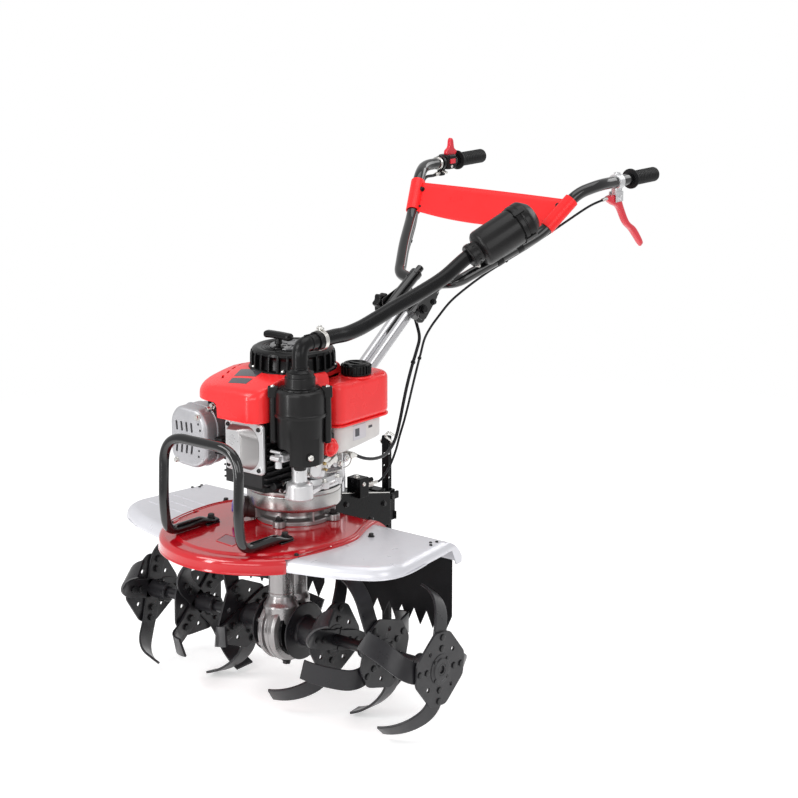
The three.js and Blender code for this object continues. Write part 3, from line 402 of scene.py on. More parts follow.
def patch(points, lift, thick=0.6):
    """A thin sheet whose top is a grid of points, [u, v, xyz], raised by lift."""
    top = np.asarray(points, float) + (0, 0, lift)
    low = top - (0, 0, thick)
    n, m = top.shape[:2]
    edge = np.concatenate([np.arange(m), m - 1 + m * np.arange(1, n), n * m - 2 - np.arange(m - 1),
                           m * np.arange(n - 2, 0, -1)])
    p = np.vstack([top.reshape(-1, 3), low.reshape(-1, 3)])
    _, up = grid(top, wrap=False)
    faces = up + [[i + n * m for i in f[::-1]] for f in up]
    after = np.roll(edge, -1)
    faces += np.stack([edge, edge + n * m, after + n * m, after], axis=1).tolist()
    return p, faces


def shift2(outline, dx, dy):
    """The flat outline moved by two distances."""
    return np.asarray(outline, float) + (dx, dy)


def closed_ring(solid, around):
    """A turned solid whose ends are joined to each other instead of being capped, as a washer's."""
    p = np.asarray(solid[0]).reshape(-1, around, 3)
    return grid(np.concatenate([p, p[:1]]))


def coil(a, b, r, wire, turns, seg=10):
    """A spring: a circle that advances from a to b."""
    u, v, w = axes_of(np.subtract(b, a))
    t = np.linspace(0, 1, int(turns * 18))[:, None]
    angle = t * turns * TURN
    path = np.asarray(a, float) + np.subtract(b, a) * t + r * (np.cos(angle) * u + np.sin(angle) * v)
    return tube(path, wire, seg)


# ---------------------------------------------------------------- pieces
def piece(name, groups, body, replaces=(), angle=38.0, weld=0.002):
    """One object from groups of (solids, material). Doubled points are merged and faces turned
    outwards; edges sharper than the angle stay crisp."""
    points, faces, which, materials = [], [], [], []
    start = 0
    for solids, material in groups:
        if material not in materials:
            materials.append(material)
        for solid in solids:
            p, f = solid
            points.append(np.asarray(p, float))
            faces += [[i + start for i in face] for face in f]
            which += [materials.index(material)] * len(f)
            start += len(p)
    co = np.vstack(points) * MM + (AXLE.x, AXLE.y, 0)
    mesh = bpy.data.meshes.new(name)
    mesh.from_pydata(co.tolist(), [], faces)
    mesh.polygons.foreach_set("material_index", which)
    for material in materials:
        mesh.materials.append(material)
    bm = bmesh.new()
    bm.from_mesh(mesh)
    bmesh.ops.remove_doubles(bm, verts=bm.verts, dist=weld * MM)
    bmesh.ops.recalc_face_normals(bm, faces=bm.faces)
    bm.to_mesh(mesh)
    bm.free()
    mesh.polygons.foreach_set("use_smooth", [True] * len(mesh.polygons))
    mesh.set_sharp_from_angle(angle=np.radians(angle))
    thing = bpy.data.objects.new(name, mesh)
    bpy.context.scene.collection.objects.link(thing)
    weigh = thing.modifiers.new("shading", "WEIGHTED_NORMAL")
    weigh.keep_sharp = True
    weigh.weight = 60
    if replaces:
        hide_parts(*replaces)
    if body:
        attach(thing, body)
    return thing


def finished_node(node, material, name=None, bevel=0.8, angle=38.0, body=None):
    """A CAD node's own shape with its loose triangles merged, flat faces joined, edges broken by
    a small bevel and round faces shaded smooth."""
    source = frame["nodes"][node]
    mesh = source.data.copy()
    bm = bmesh.new()
    bm.from_mesh(mesh)
    bmesh.ops.remove_doubles(bm, verts=bm.verts, dist=2e-6)
    bmesh.ops.dissolve_limit(bm, angle_limit=np.radians(0.6), verts=bm.verts, edges=bm.edges)
    bm.to_mesh(mesh)
    bm.free()
    mesh.materials.clear()
    mesh.materials.append(material)
    thing = bpy.data.objects.new(name or node + "_finished", mesh)
    bpy.context.scene.collection.objects.link(thing)
    mesh.polygons.foreach_set("use_smooth", [True] * len(mesh.polygons))
    mesh.set_sharp_from_angle(angle=np.radians(angle))
    if bevel:
        mod = thing.modifiers.new("edges", "BEVEL")
        mod.width = bevel * MM
        mod.segments = 2
        mod.limit_method = "ANGLE"
        mod.angle_limit = np.radians(angle)
        mod.harden_normals = True
    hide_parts(node)
    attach(thing, body or source["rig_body"])
    return thing


# ---------------------------------------------------------------- finishes
class Value:
    """A number worked out in a material. Arithmetic on it adds Math nodes."""

    def __init__(self, finish, socket):
        self.finish, self.socket = finish, socket

    def math(self, operation, *values):
        """One Math node on these values."""
        return self.finish.node("ShaderNodeMath", {"operation": operation}, dict(enumerate(values)))

    def __add__(self, other):
        return self.math("ADD", self, other)

    def __sub__(self, other):
        return self.math("SUBTRACT", self, other)

    def __rsub__(self, other):
        return self.math("SUBTRACT", other, self)

    def __mul__(self, other):
        return self.math("MULTIPLY", self, other)

    __radd__ = __add__
    __rmul__ = __mul__


class Finish:
    """A material on the object's own coordinates. node() adds any node."""

    def __init__(self, name):
        self.material = bpy.data.materials.new(name)
        self.material.use_nodes = True
        self.tree = self.material.node_tree
        self.surface = self.tree.nodes["Principled BSDF"]
        self.place = self.node("ShaderNodeTexCoord", out="Object")

    def node(self, kind, settings=None, inputs=None, out=0):
        """A node with its settings made first, then its sockets set or linked."""
        new = self.tree.nodes.new(kind)
        for key, value in (settings or {}).items():
            if key == "stops":
                for k, (position, colour) in enumerate(value):
                    stop = new.color_ramp.elements[k] if k < 2 else new.color_ramp.elements.new(position)
                    stop.position, stop.color = position, colour
            else:
                setattr(new, key, value)
        for key, value in (inputs or {}).items():
            if isinstance(value, Value):
                self.tree.links.new(value.socket, new.inputs[key])
            else:
                new.inputs[key].default_value = value
        return Value(self, new.outputs[out])

    def noise(self, scale, detail=3.0, rough=0.5, place=None):
        """Noise over the object's own coordinates."""
        return self.node("ShaderNodeTexNoise", None, {
            "Vector": place or self.place, "Scale": scale, "Detail": detail, "Roughness": rough})

    def stretched(self, x=1.0, y=1.0, z=1.0):
        """The coordinates multiplied along each axis."""
        return self.node("ShaderNodeMapping", None, {"Vector": self.place, "Scale": (x, y, z)})

    def ramp(self, value, low, high, to_low=0.0, to_high=1.0):
        """The value carried in a straight line from one range to another, and held at its ends."""
        return self.node("ShaderNodeMapRange", {"clamp": True}, {
            0: value, 1: low, 2: high, 3: to_low, 4: to_high})

    def mix(self, factor, a, b):
        """Colour a where the factor is 0 and b where it is 1."""
        return self.node("ShaderNodeMix", {"data_type": "RGBA"}, {0: factor, 6: a, 7: b}, out=2)

    def bump(self, height, strength=0.3, distance=0.001, normal=None):
        """A bump from a height."""
        inputs = {"Height": height, "Strength": strength, "Distance": distance}
        if normal is not None:
            inputs["Normal"] = normal
        return self.node("ShaderNodeBump", None, inputs)

    def done(self, **sockets):
        """Sets or links the shader's sockets and gives back the material."""
        names = {"colour": "Base Color", "rough": "Roughness", "metal": "Metallic", "coat": "Coat Weight",
                 "coat_rough": "Coat Roughness", "normal": "Normal", "ior": "IOR", "alpha": "Alpha",
                 "through": "Transmission Weight", "sheen": "Sheen Weight", "under": "Subsurface Weight",
                 "under_radius": "Subsurface Radius", "under_scale": "Subsurface Scale",
                 "brushed": "Anisotropic", "spec": "Specular IOR Level"}
        for key, value in sockets.items():
            socket = self.surface.inputs[names[key]]
            if isinstance(value, Value):
                self.tree.links.new(value.socket, socket)
            else:
                socket.default_value = value
        return self.material


def rgb(r, g, b):
    """A colour with full cover."""
    return (r, g, b, 1.0)


def enamel(name, colour, rough=0.22, coat=0.5, dust=0.25, peel=0.06, metal=0.0, spec=0.5):
    """Sprayed paint: slight orange peel, cloudy gloss and a little dust."""
    f = Finish(name)
    cloud = f.noise(9, 4, 0.6)
    speck = f.noise(420, 2, 0.5)
    light = tuple(min(1.0, c * 1.15 + 0.003) for c in colour[:3]) + (1.0,)
    base = f.mix(f.ramp(cloud, 0.35, 0.75, 0.0, dust), colour, light)
    gloss = f.ramp(f.noise(28, 5, 0.6), 0.3, 0.75, rough * 0.75, rough * 1.35)
    normal = f.bump(speck, peel, 0.0004)
    return f.done(colour=base, rough=gloss, coat=coat, coat_rough=0.05, normal=normal, metal=metal, spec=spec)


def moulded(name, colour, rough=0.38, grain=0.12, coat=0.0, size=1500, spec=0.5):
    """Moulded plastic: fine grain, faint flow marks in the gloss."""
    f = Finish(name)
    grains = f.noise(size, 2, 0.6)
    flow = f.noise(14, 4, 0.55)
    light = tuple(min(1.0, c * 1.2 + 0.002) for c in colour[:3]) + (1.0,)
    base = f.mix(f.ramp(flow, 0.3, 0.8, 0.0, 0.5), colour, light)
    gloss = f.ramp(flow, 0.3, 0.7, rough * 0.85, rough * 1.2)
    return f.done(colour=base, rough=gloss, coat=coat, coat_rough=0.08,
                  normal=f.bump(grains, grain, 0.0002), spec=spec)


def cast(name, colour, rough=0.42, grain=0.35, size=420, stain=0.35, metal=1.0):
    """Die-cast metal: pebbled skin, darker stains in random blotches, uneven gloss."""
    f = Finish(name)
    pebble = f.noise(size, 4, 0.65)
    blotch = f.noise(22, 6, 0.65)
    dark = tuple(c * 0.62 for c in colour[:3]) + (1.0,)
    base = f.mix(f.ramp(blotch, 0.42, 0.72, 0.0, stain), colour, dark)
    gloss = f.ramp(blotch, 0.3, 0.7, rough * 0.85, rough * 1.15)
    return f.done(colour=base, rough=gloss, metal=metal, normal=f.bump(pebble, grain, 0.0002))


def drawn(name, colour, rough=0.2, lines=(4, 4, 260), strength=0.08, metal=1.0, coat=0.0):
    """Bright drawn or machined metal: fine lines stretched along one direction."""
    f = Finish(name)
    line = f.noise(6, 5, 0.7, f.stretched(*lines))
    cloud = f.noise(16, 4, 0.6)
    dark = tuple(c * 0.8 for c in colour[:3]) + (1.0,)
    base = f.mix(f.ramp(line, 0.35, 0.7, 0.0, 0.35), colour, dark)
    gloss = f.ramp(cloud, 0.3, 0.7, rough * 0.7, rough * 1.4)
    return f.done(colour=base, rough=gloss, metal=metal, coat=coat, normal=f.bump(line, strength, 0.0003))


def rubber(name, colour=rgb(0.012, 0.012, 0.013), rough=0.62, grain=0.25, size=700):
    """Rubber: dull, finely pitted, with paler chalky patches."""
    f = Finish(name)
    pits = f.noise(size, 3, 0.6)
    chalk = f.noise(18, 5, 0.6)
    pale = tuple(c * 1.6 + 0.002 for c in colour[:3]) + (1.0,)
    base = f.mix(f.ramp(chalk, 0.45, 0.8, 0.0, 0.7), colour, pale)
    return f.done(colour=base, rough=f.ramp(pits, 0.3, 0.7, rough * 0.85, min(1.0, rough * 1.15)), spec=0.2,
                  normal=f.bump(pits, grain, 0.0003))


def shaded(colour, factor):
    """The same colour made lighter or darker."""
    return tuple(min(1.0, c * factor) for c in colour[:3]) + (1.0,)


def sheet_paint(name, colour):
    """Silver-grey enamel on hand-formed sheet: long soft waves and a satin bloom."""
    f = Finish(name)
    wave = f.noise(11, 2, 0.4)
    speck = f.noise(500, 2, 0.5)
    base = f.mix(f.ramp(f.noise(7, 4, 0.6), 0.3, 0.75), shaded(colour, 0.94), shaded(colour, 1.06))
    normal = f.bump(speck, 0.05, 0.0003, f.bump(wave, 0.35, 0.006))
    return f.done(colour=base, rough=f.ramp(f.noise(30, 4, 0.6), 0.3, 0.7, 0.26, 0.4),
                  coat=0.35, coat_rough=0.1, metal=0.25, normal=normal)


def tank_skin(name, colour):
    """Milky blow-moulded plastic that lets a little light in."""
    f = Finish(name)
    mottle = f.noise(26, 4, 0.6)
    base = f.mix(f.ramp(mottle, 0.3, 0.75), shaded(colour, 0.94), shaded(colour, 1.06))
    return f.done(colour=base, rough=f.ramp(mottle, 0.3, 0.7, 0.3, 0.45), under=0.25,
                  under_radius=(0.02, 0.02, 0.02), under_scale=0.3,
                  normal=f.bump(f.noise(900, 2, 0.5), 0.1, 0.0002))


look = {}


def make_finishes():
    """Every finish of the tiller, by its name."""
    tone = bpy.context.scene.tiller_colours
    look.update(
        red_paint=enamel("red_paint", rgb(*tone.deck), 0.14, 0.8, 0.3, spec=0.45),
        red_plastic=moulded("red_plastic", rgb(*tone.shroud), 0.26, 0.04, 0.25, spec=0.4),
        panel_red=enamel("panel_red", rgb(*tone.panel), 0.34, 0.1, 0.15, spec=0.25),
        lever_red=moulded("lever_red", rgb(*tone.lever), 0.28, 0.05, 0.4),
        # The lighter greyish red inside the deck's badge recess stands for the pinkish reflection on the
        # gloss: painted reflection.
        badge_red=enamel("badge_red", rgb(0.22, 0.06, 0.08), 0.25, 0.4, 0.3),
        black_enamel=enamel("black_enamel", rgb(*tone.tubes), 0.1, 0.7, 0.2, 0.02, spec=0.35),
        black_satin=enamel("black_satin", rgb(0.003, 0.003, 0.0035), 0.26, 0.05, 0.4, spec=0.1),
        blade_enamel=enamel("blade_enamel", rgb(*tone.blades), 0.34, 0.08, 0.8, 0.1, spec=0.35),
        black_plastic=moulded("black_plastic", rgb(*tone.plastic), 0.3, 0.08, 0.1, spec=0.2),
        canister_plastic=moulded("canister_plastic", rgb(*tone.canister), 0.36, 0.03, 0.1, spec=0.3),
        dark_casting=cast("dark_casting", rgb(0.012, 0.012, 0.013), 0.5, 0.3, metal=0.2),
        # The darker cast finish; on the rocker cover's dome flanks it is painted shade.
        casting=cast("casting", rgb(*tone.castings), 0.3, 0.04, 300, 0.15, 0.8),
        bright_casting=cast("bright_casting", rgb(*tone.bright), 0.3, 0.02, 260, 0.04, 0.6),
        brown_casting=cast("brown_casting", rgb(0.035, 0.018, 0.018), 0.4, 0.2, 300, 0.4, 0.2),
        brushed=drawn("brushed", rgb(0.44, 0.43, 0.42), 0.22, (3, 3, 320), 0.03, 0.95),
        tube_silver=drawn("tube_silver", rgb(*tone.column), 0.2, (16, 16, 1), 0.0, 0.75, 0.3),
        zinc=cast("zinc", rgb(0.74, 0.73, 0.70), 0.28, 0.05, 600, 0.2),
        bolt_black=cast("bolt_black", rgb(0.012, 0.012, 0.013), 0.38, 0.1, 600, 0.2, 0.3),
        muffler_steel=drawn("muffler_steel", rgb(*tone.muffler), 0.34, (20, 3, 3), 0.02, 0.5),
        silver_sheet=sheet_paint("silver_sheet", rgb(*tone.wings)),
        tank=tank_skin("tank_skin", rgb(*tone.tank)),
        rubber=rubber("rubber", rgb(0.006, 0.006, 0.007)),
        grip_rubber=rubber("grip_rubber", rgb(0.009, 0.009, 0.0095), 0.5, 0.15, 900),
        hose_rubber=rubber("hose_rubber", rgb(0.004, 0.004, 0.0045), 0.26, 0.05, 500),
        sheath=rubber("sheath", rgb(0.010, 0.010, 0.012), 0.34, 0.1, 900),
        blue_plastic=moulded("blue_plastic", rgb(*tone.plug), 0.3, 0.05, 0.3),
        badge=enamel("badge", rgb(0.055, 0.055, 0.065), 0.22, 0.4, 0.3),
        # Near-black matte: at the back of the shroud's notch and inside the muffler's slots it is painted
        # shade; under the rocker cover it is the gasket's own colour.
        slot_dark=rubber("slot_dark", rgb(0.003, 0.003, 0.003), 0.9, 0.1),
        disc_grey=moulded("disc_grey", rgb(0.05, 0.05, 0.055), 0.2, 0.05, 0.4),
        brass=cast("brass", rgb(0.50, 0.36, 0.16), 0.3, 0.1, 600, 0.3),
        label=moulded("label", rgb(0.56, 0.55, 0.58), 0.35, 0.03),
    )


# ---------------------------------------------------------------- tine rotor
STATIONS = (  # across, turn of the left and the right set, and to which side each blade bends
    ("outer", 392, 85, 78, (-1, -1, -1, -1)),
    ("middle", 254, 30, 44, (-1, -1, -1, -1)),
    ("inner", 124, 75, 22, (1, -1, 1, -1)),
)


def blade(width, edge, rows=44):
    """A flat strip that curves in its own plane, then rolls sideways round a slanting line.
    Along the strip: straight, then a circular arc; past the bend line the distance from it is
    wound onto a cylinder and runs out straight at the end of the bend."""
    straight, sweep, sweep_r, bend, bend_r, line, length = (
        41, np.radians(44), 79, np.radians(84), 106, 30, 189)
    n = (np.cos(np.radians(line)), np.sin(np.radians(line)))
    half, thick = width / 2, 2.5
    section = fillet(arr((-half, -thick), (half, -thick), (half, thick), (-half, thick)),
                     edge, 3, closed=True)
    section = np.concatenate([section[:4], even(section[3:5], 6)[1:-1], section[4:12],
                              even(section[11:13], 6)[1:-1], section[12:]])
    u = np.linspace(0, length, rows)[:, None]
    close = 1 - 0.05 * np.maximum(0, u / length - 0.55)
    v, w = section[None, :, 0] * close, section[None, :, 1] + 0 * u
    turn = np.clip((u - straight) / sweep_r, 0, sweep)
    run = np.maximum(0, u - straight - sweep * sweep_r)
    r = np.minimum(u, straight) + sweep_r * np.sin(turn) + run * np.cos(turn) - v * np.sin(turn)
    t = sweep_r * (1 - np.cos(turn)) + run * np.sin(turn) + v * np.cos(turn)
    past = r * n[0] + t * n[1] - straight * n[0]
    angle = np.clip(past / bend_r, 0, bend)
    rest = np.maximum(0, past - angle * bend_r)
    onward = (bend_r - w) * np.sin(angle) + rest * np.cos(angle)
    side = np.where(past > 0, bend_r - (bend_r - w) * np.cos(angle) + rest * np.sin(angle), w)
    extra = np.where(past > 0, onward - past, 0)
    points = np.stack([-side, t + extra * n[1], r + extra * n[0]], axis=-1)
    for _ in range(6):
        points[..., 2] += 151.6 - np.hypot(points[..., 1], points[..., 2]).max()
    return lofted(points)


def tine_set(phase, bends, sizes):
    """Hub plate, four bolted blades and the sleeve of one set, in two finishes."""
    tall = sizes.bolt_height / MM
    steel, bolts = [], []
    hull = arr((-23, -74), (23, -74), (74, -23), (74, 23), (23, 74), (-23, 74), (-74, 23), (-74, -23))
    plate = laid(slab(fillet(hull, 9, 4, closed=True), -2.5, 2.5, 0.7, 2), (0, 1, 0), (0, 0, 1))
    holes = [spun(rod((-9, 0, 50), (9, 0, 50), 5, 24, 0), 45 + 90 * k, axis=(1, 0, 0)) for k in range(4)]
    steel.append(spun(carved(plate, holes), phase, axis=(1, 0, 0)))
    steel.append(closed_ring(turned([(12.3, -3), (31, -3), (31, 3.6), (24, 4), (22, 6), (12.3, 6)], (0, 0, 0),
                                    (1, 0, 0),
                                    48, 0.6), 48))
    for k in range(4):
        a = np.radians(90 * k + 45)
        bolts += bolt((3.2, 26.5 * np.cos(a), 26.5 * np.sin(a)), (1, 0, 0), 6, 2.4, False)
    strip = blade(42, sizes.blade_edge / MM)
    for k, s in enumerate(bends):
        one = mirrored(strip) if s > 0 else strip
        one = spun(spun(shifted(one, s * 4.9), 180, axis=(1, 0, 0)), phase + 90 * k, axis=(1, 0, 0))
        steel.append(one)
        for out, off in ((42, 0), (64, 0)):
            for face in (1, -1):
                head = bolt((face * (2.4 if face != s else 7.2), off, -out), (face, 0, 0), 12,
                            0.56 * tall if face > 0 else tall,
                            face < 0)
                bolts += [spun(h, phase + 90 * k, axis=(1, 0, 0)) for h in head]
    sleeve = turned([(12.4, -55), (19, -55), (19, 4), (12.4, 4)], (0, 0, 0), (1, 0, 0), 40, 0.8)
    steel.append(closed_ring(sleeve, 40))
    for x in (-52, 1):
        steel.append(ring((x, 0, 0), (1, 0, 0), 19, 1.6))
    bolts += bolt((-30, 0, 18), (0, 0, 1), 11, 5)
    bolts += bolt((-30, 0, -18), (0, 0, -1), 11, 5)
    return steel, bolts


class TILLER_OT_rotor(bpy.types.Operator):
    """Tine axle with its six sets of curved blades"""

    bl_idname = "tiller.rotor"
    bl_label = "Tine rotor"

    def execute(self, context):
        for name, x, left, right, bends in STATIONS:
            for side, phase in (("left", left), ("right", right)):
                steel, bolts = tine_set(phase, bends, context.scene.tiller_sizes)
                if side == "right":
                    steel, bolts = [mirrored(s) for s in steel], [mirrored(s) for s in bolts]
                dx = x if side == "left" else -x
                steel = [shifted(s, dx, 0, AXLE_Z) for s in steel]
                bolts = [shifted(s, dx, 0, AXLE_Z) for s in bolts]
                piece(f"blades_{side}_{name}", [(steel, look["blade_enamel"]), (bolts, look["bolt_black"])],
                      "tine_rotor", [f"tine_set_{side}_{name}"])
        shaft = turned([(0, -386), (8, -386), (8, -397.8), (12, -397.8), (12, 397.8), (8, 397.8),
                        (8, 386), (0, 386)],
                       (0, 0, AXLE_Z), (1, 0, 0), 40, 0.8)
        guards = []
        for s in (1, -1):
            guards.append(turned([(0, 42), (58, 42), (60, 44), (58, 46), (34, 47), (30, 50),
                                  (29, 100), (22, 112), (0, 112)],
                                 (0, 0, AXLE_Z), (s, 0, 0), 72, 0.8))
        shaft_parts = [shaft] + guards
        piece("axle_bar", [(shaft_parts, look["blade_enamel"])], "tine_rotor", ["tine_axle"])
        return {"FINISHED"}


# ---------------------------------------------------------------- gearbox
class TILLER_OT_gearbox(bpy.types.Operator):
    """Worm gearbox: a split round case with rims, bolts, caps and two upright barrels"""

    bl_idname = "tiller.gearbox"
    bl_label = "Gearbox"

    def execute(self, context):
        side = (1, 0, 0)
        at = (0, 0, AXLE_Z)
        case = [
            turned([(0, -33), (24, -33), (30, -30), (31, -26), (44, -25), (56, -25), (64, -24),
                    (68, -22), (68, -12.5), (61, -11), (60, -5), (68, -3.6), (68, 14), (66, 20), (58, 22.5),
                    (46, 25), (31, 26), (30, 30), (24, 33), (0, 33)], at, side, 96, 1.2),
        ]
        for x in (-17, 5):
            case.append(ring((x, 0, AXLE_Z), side, 68, 1.1, 96))
        joints = []
        for k in range(8):
            a = np.radians(22.5 + 45 * k)
            y, z = 63 * np.cos(a), AXLE_Z + 63 * np.sin(a)
            case.append(rod((-24, y, z), (-12, y, z), 6, 20, 0.6))
            joints += bolt((22, y * 0.8, AXLE_Z + 50 * np.sin(a)), side, 8, 4)
            joints += bolt((-24.5, y, z), (-1, 0, 0), 8, 4)
        barrels = [
            turned([(0, AXLE_Z + 20), (36, AXLE_Z + 20), (36, 206), (30, 214), (25, 226),
                    (25, 362), (27, 366), (27, 380.8),
                    (0, 380.8)], (0, -20, 0), (0, 0, 1), 56, 3),
            turned([(0, AXLE_Z + 20), (30, AXLE_Z + 20), (30, 212), (25, 222), (25, 380.8), (0, 380.8)],
                   (0, 22, 0), (0, 0, 1), 56, 3),
            brick(-13, 13, -26, 26, 200, 380, 3),
        ]
        for z in (232, 300):
            barrels.append(ring((0, -20, z), (0, 0, 1), 25, 1.2, 56))
        plug = bolt((6, -12, AXLE_Z - 66), (0, 0, -1), 15, 8)
        cover = [turned([(0, 20), (55, 20), (56, 24), (52, 28), (36, 30), (34, 36), (0, 36)],
                        at, side, 72, 1)]
        piece("gear_case",
              [(case, look["casting"]), (barrels, look["casting"]), (joints + plug, look["bolt_black"]),
                            (cover, look["black_satin"])],
              "root", ["gearbox_housing"])
        return {"FINISHED"}


# ---------------------------------------------------------------- deck, wings and flaps
REAR_FALL = arr((92, 0), (112, 6), (130, 16), (146, 30), (157.7, 44.7))
SEAM = arr((166, -196), (187, -100), (189, -10), (160, 62), (146, 110), (146, 170))
DECK_TOP = 381


def seam_line(inset=0.0, count=70):
    """The S-shaped line where deck and wing meet, moved inward by the inset."""
    return flowing(SEAM - (inset, 0), count)


def fall_at(y):
    """How far the sheet has rolled down at y behind the axle."""
    roll = flowing(np.vstack([[(60, 0), (76, 0)], REAR_FALL]), 120)
    return np.interp(y, roll[:, 0], roll[:, 1])


def between_seams(inset):
    """The outline between the left seam and its mirror image."""
    line = np.vstack([[(166 - inset, -420)], seam_line(inset)])
    return np.vstack([line, line[::-1] * (-1, 1)])


def rear_form(top, inset, half):
    """The block under a sheet that lies level and rolls down at its rear."""
    roll = flowing(np.vstack([[(60, 0), (76, 0)], REAR_FALL]), 40)
    line = np.c_[roll[:, 0] - inset, top - roll[:, 1] - inset]
    outline = np.vstack([[(-420, 180), (line[-1, 0], 180)], line[::-1], [(-420, top - inset)]])
    return laid(slab(outline, -half, half, 0), (0, 1, 0), (0, 0, 1))


def deck_form(inset):
    """A stepped round crown in front and a level sheet behind, all faces moved in by the inset."""
    bead = bpy.context.scene.tiller_sizes.deck_bead / MM
    top, r = DECK_TOP - inset, 205 - bead - inset
    bottom = 347 if inset == 0 else 330
    a = np.radians(np.linspace(0, 90, 7))
    curl = np.c_[r - 12 + 12 * np.sin(a), top - 4 - 12 + 12 * np.cos(a)]
    step = arr((0, top), (169, top), (172.5, top - 0.6), (175.5, top - 3.2), (179, top - 4))
    crown = turned(np.vstack([step, curl, [(r, bottom + 5), (r + bead, bottom + 3), (r + bead, bottom)],
                              [(0, bottom)]]), (0, -76, 0), seg=160)
    level = brick(-260, 260, -76, 157.7, bottom - 30, top, 0.01)
    edges = slab(between_seams(inset), bottom - 30, top, 7 - min(inset, 1), 5)
    return combined(crown, (level, "UNION"), (edges, "INTERSECT"),
                    (rear_form(DECK_TOP, inset, 260), "INTERSECT"))


def wing_form(inset):
    """A wing's plan rolled down along its front and outer edges, all faces moved in."""
    a = np.linspace(0, 1, 12)[:, None]
    p0, p1, p2 = arr((318, -134)), arr((356, -112)), arr((357, -62))
    bend = (1 - a) ** 2 * p0 + 2 * a * (1 - a) * p1 + a**2 * p2
    front = flowing(arr((150, -195), (262, -163), (318, -134)), 14)[:-1]
    outer = flowing(arr((357, -62), (340, 54), (322, 170), (308, 260)), 24)[1:]
    plan = np.vstack([[(100, -195)], front, bend, outer, [(100, 260)]])
    plan = moved_in(plan, inset) if inset else plan
    rolled = slab(plan, 250, 374 - inset, 20, 7)
    return combined(rolled, (rear_form(374, inset, 420), "INTERSECT"))


class TILLER_OT_deck(bpy.types.Operator):
    """Red pressed deck, silver-grey wings and the toothed rubber flaps"""

    bl_idname = "tiller.deck"
    bl_label = "Deck and wings"

    def execute(self, context):
        above_wing = combined(rear_form(374.3, 0, 300),
                              (brick(-310, 310, -190, 420, 150, 420, 0.01), "INTERSECT"))
        hole = rod((0, 12, 300), (0, 12, 420), 60, 64, 0)
        shell = carved(deck_form(0), [deck_form(2.5), above_wing, hole])
        trims = []
        for s in (1, -1):
            line = seam_line(3.4)[6:]
            path = np.c_[line[:, 0] * s, line[:, 1], DECK_TOP - fall_at(line[:, 1]) + 0.1]
            trims.append(tube(path, 1.3, 8))
            line = seam_line(11)[10:]
            path = np.c_[line[:, 0] * s, line[:, 1], DECK_TOP - fall_at(line[:, 1]) - 0.4]
            trims.append(tube(path, 1.6, 8))
        ribs = [turned([(0, 380.6), (63.5, 380.6), (66, 382.4), (70, 382.4), (73, 380.6), (0, 380.4)],
                       (0, 12, 0), seg=96)]
        ribs = [combined(ribs[0], (rod((0, 12, 300), (0, 12, 420), 61, 64, 0), "DIFFERENCE"))]
        plate = fillet(arr((-9, -200), (-24, -153), (31, -159), (43, -206)), 6, 4, closed=True)
        rim = carved(slab(plate, 380.4, 382.2, 0.7, 2), [slab(moved_in(plate, 2.4), 381.2, 390, 0)])
        # The lighter greyish-red plate inside the badge's rim: painted reflection.
        flat = slab(moved_in(plate, 2.6), 380.6, 381.5, 0.1, 1)
        heads = []
        for s in (1, -1):
            heads += bolt((s * 120, 120, 372.5), (0, 0.35, 1), 10, 5)
        piece("deck_shell", [([shell] + trims + ribs + [rim], look["red_paint"]), ([flat], look["badge_red"]),
                             (heads, look["bolt_black"])], "root", ["deck"])

        wing_below = laid(slab(arr((-420, 100), (118, 100), (300, 100), (300, 316), (136, 316), (118, 350),
                                   (-420, 350)),
                               0, 420, 0), (0, 1, 0), (0, 0, 1))
        under_deck = slab(between_seams(12), 250, 450, 0)
        rim_room = brick(0, 205, -420, -189.7, 200, 420, 0.01)
        wing = carved(wing_form(0), [wing_form(2.5), wing_below, under_deck, rim_room])
        curtain = np.vstack([
            [(40, 326), (40, 194)],
            np.ravel(np.column_stack([40 + 32.25 * (np.arange(8) + 0.5), np.full(8, 160.0),
                                      40 + 32.25 * (np.arange(8) + 1), np.full(8, 194.0)])).reshape(-1, 2),
            [(298, 326)]])
        for side, s in (("left", 1), ("right", -1)):
            ribs = []
            for k in range(3):
                x0, x1 = (205, 300) if s > 0 else (180, 318)
                y = 40 + 34 * k
                if s < 0:
                    path = np.linspace((x0, y - 130, 374), (x1, y - 112, 374), 12)
                    ribs.append(tube(path - (0, 0, 1.4), 2.6, 8))
            lip = flowing(arr((262, -163), (318, -134), (346, -106), (357, -62), (340, 54), (322, 168)), 60)
            lip = even(lip, 60)
            drop = 374 - 24 + 1.6
            edge = tube(np.c_[lip[:36], np.full(36, drop)], 1.5, 8)
            parts = [wing, edge] + ribs
            parts = parts if s > 0 else [mirrored(p) for p in parts[:2]] + [mirrored(r) for r in ribs]
            piece(f"wing_sheet_{side}", [(parts, look["silver_sheet"])], "root",
                  [f"wing_{side}"])
            cloth = laid(slab(curtain, 0, 3.2, 0.6, 2), (1, 0, 0), (0, 0, 1), (0, 161.4, 0))
            strip = brick(46, 296, 161.6, 163.4, 306, 322, 0.5)
            heads = []
            for x, y in ((168, -160), (196, 30)):
                heads += bolt((x, y, 374.0), (0, 0, 1), 9, 5.5)
            for x, y in ((312, 72), (322, 60), (318, 84)):
                heads += screw((x, y, 373.8), (0, 0, 1), 3.4, 2.4)
            for x in (64, 128, 192, 256, 288):
                heads += bolt((x, 163.2, 314), (0, 1, 0), 8, 4)
            if s < 0:
                cloth, strip, heads = mirrored(cloth), mirrored(strip), [mirrored(h) for h in heads]
            piece(f"flap_sheet_{side}", [([cloth], look["rubber"]), ([strip], look["bolt_black"])], "root",
                  [f"mud_flap_{side}"])
            piece(f"wing_bolts_{side}", [(heads, look["bolt_black"])], "root")
        return {"FINISHED"}


# ---------------------------------------------------------------- shroud, starter, exhaust
SHAFT_Y, SHROUD_TOP, SHROUD_LOW = 24, 695, 612


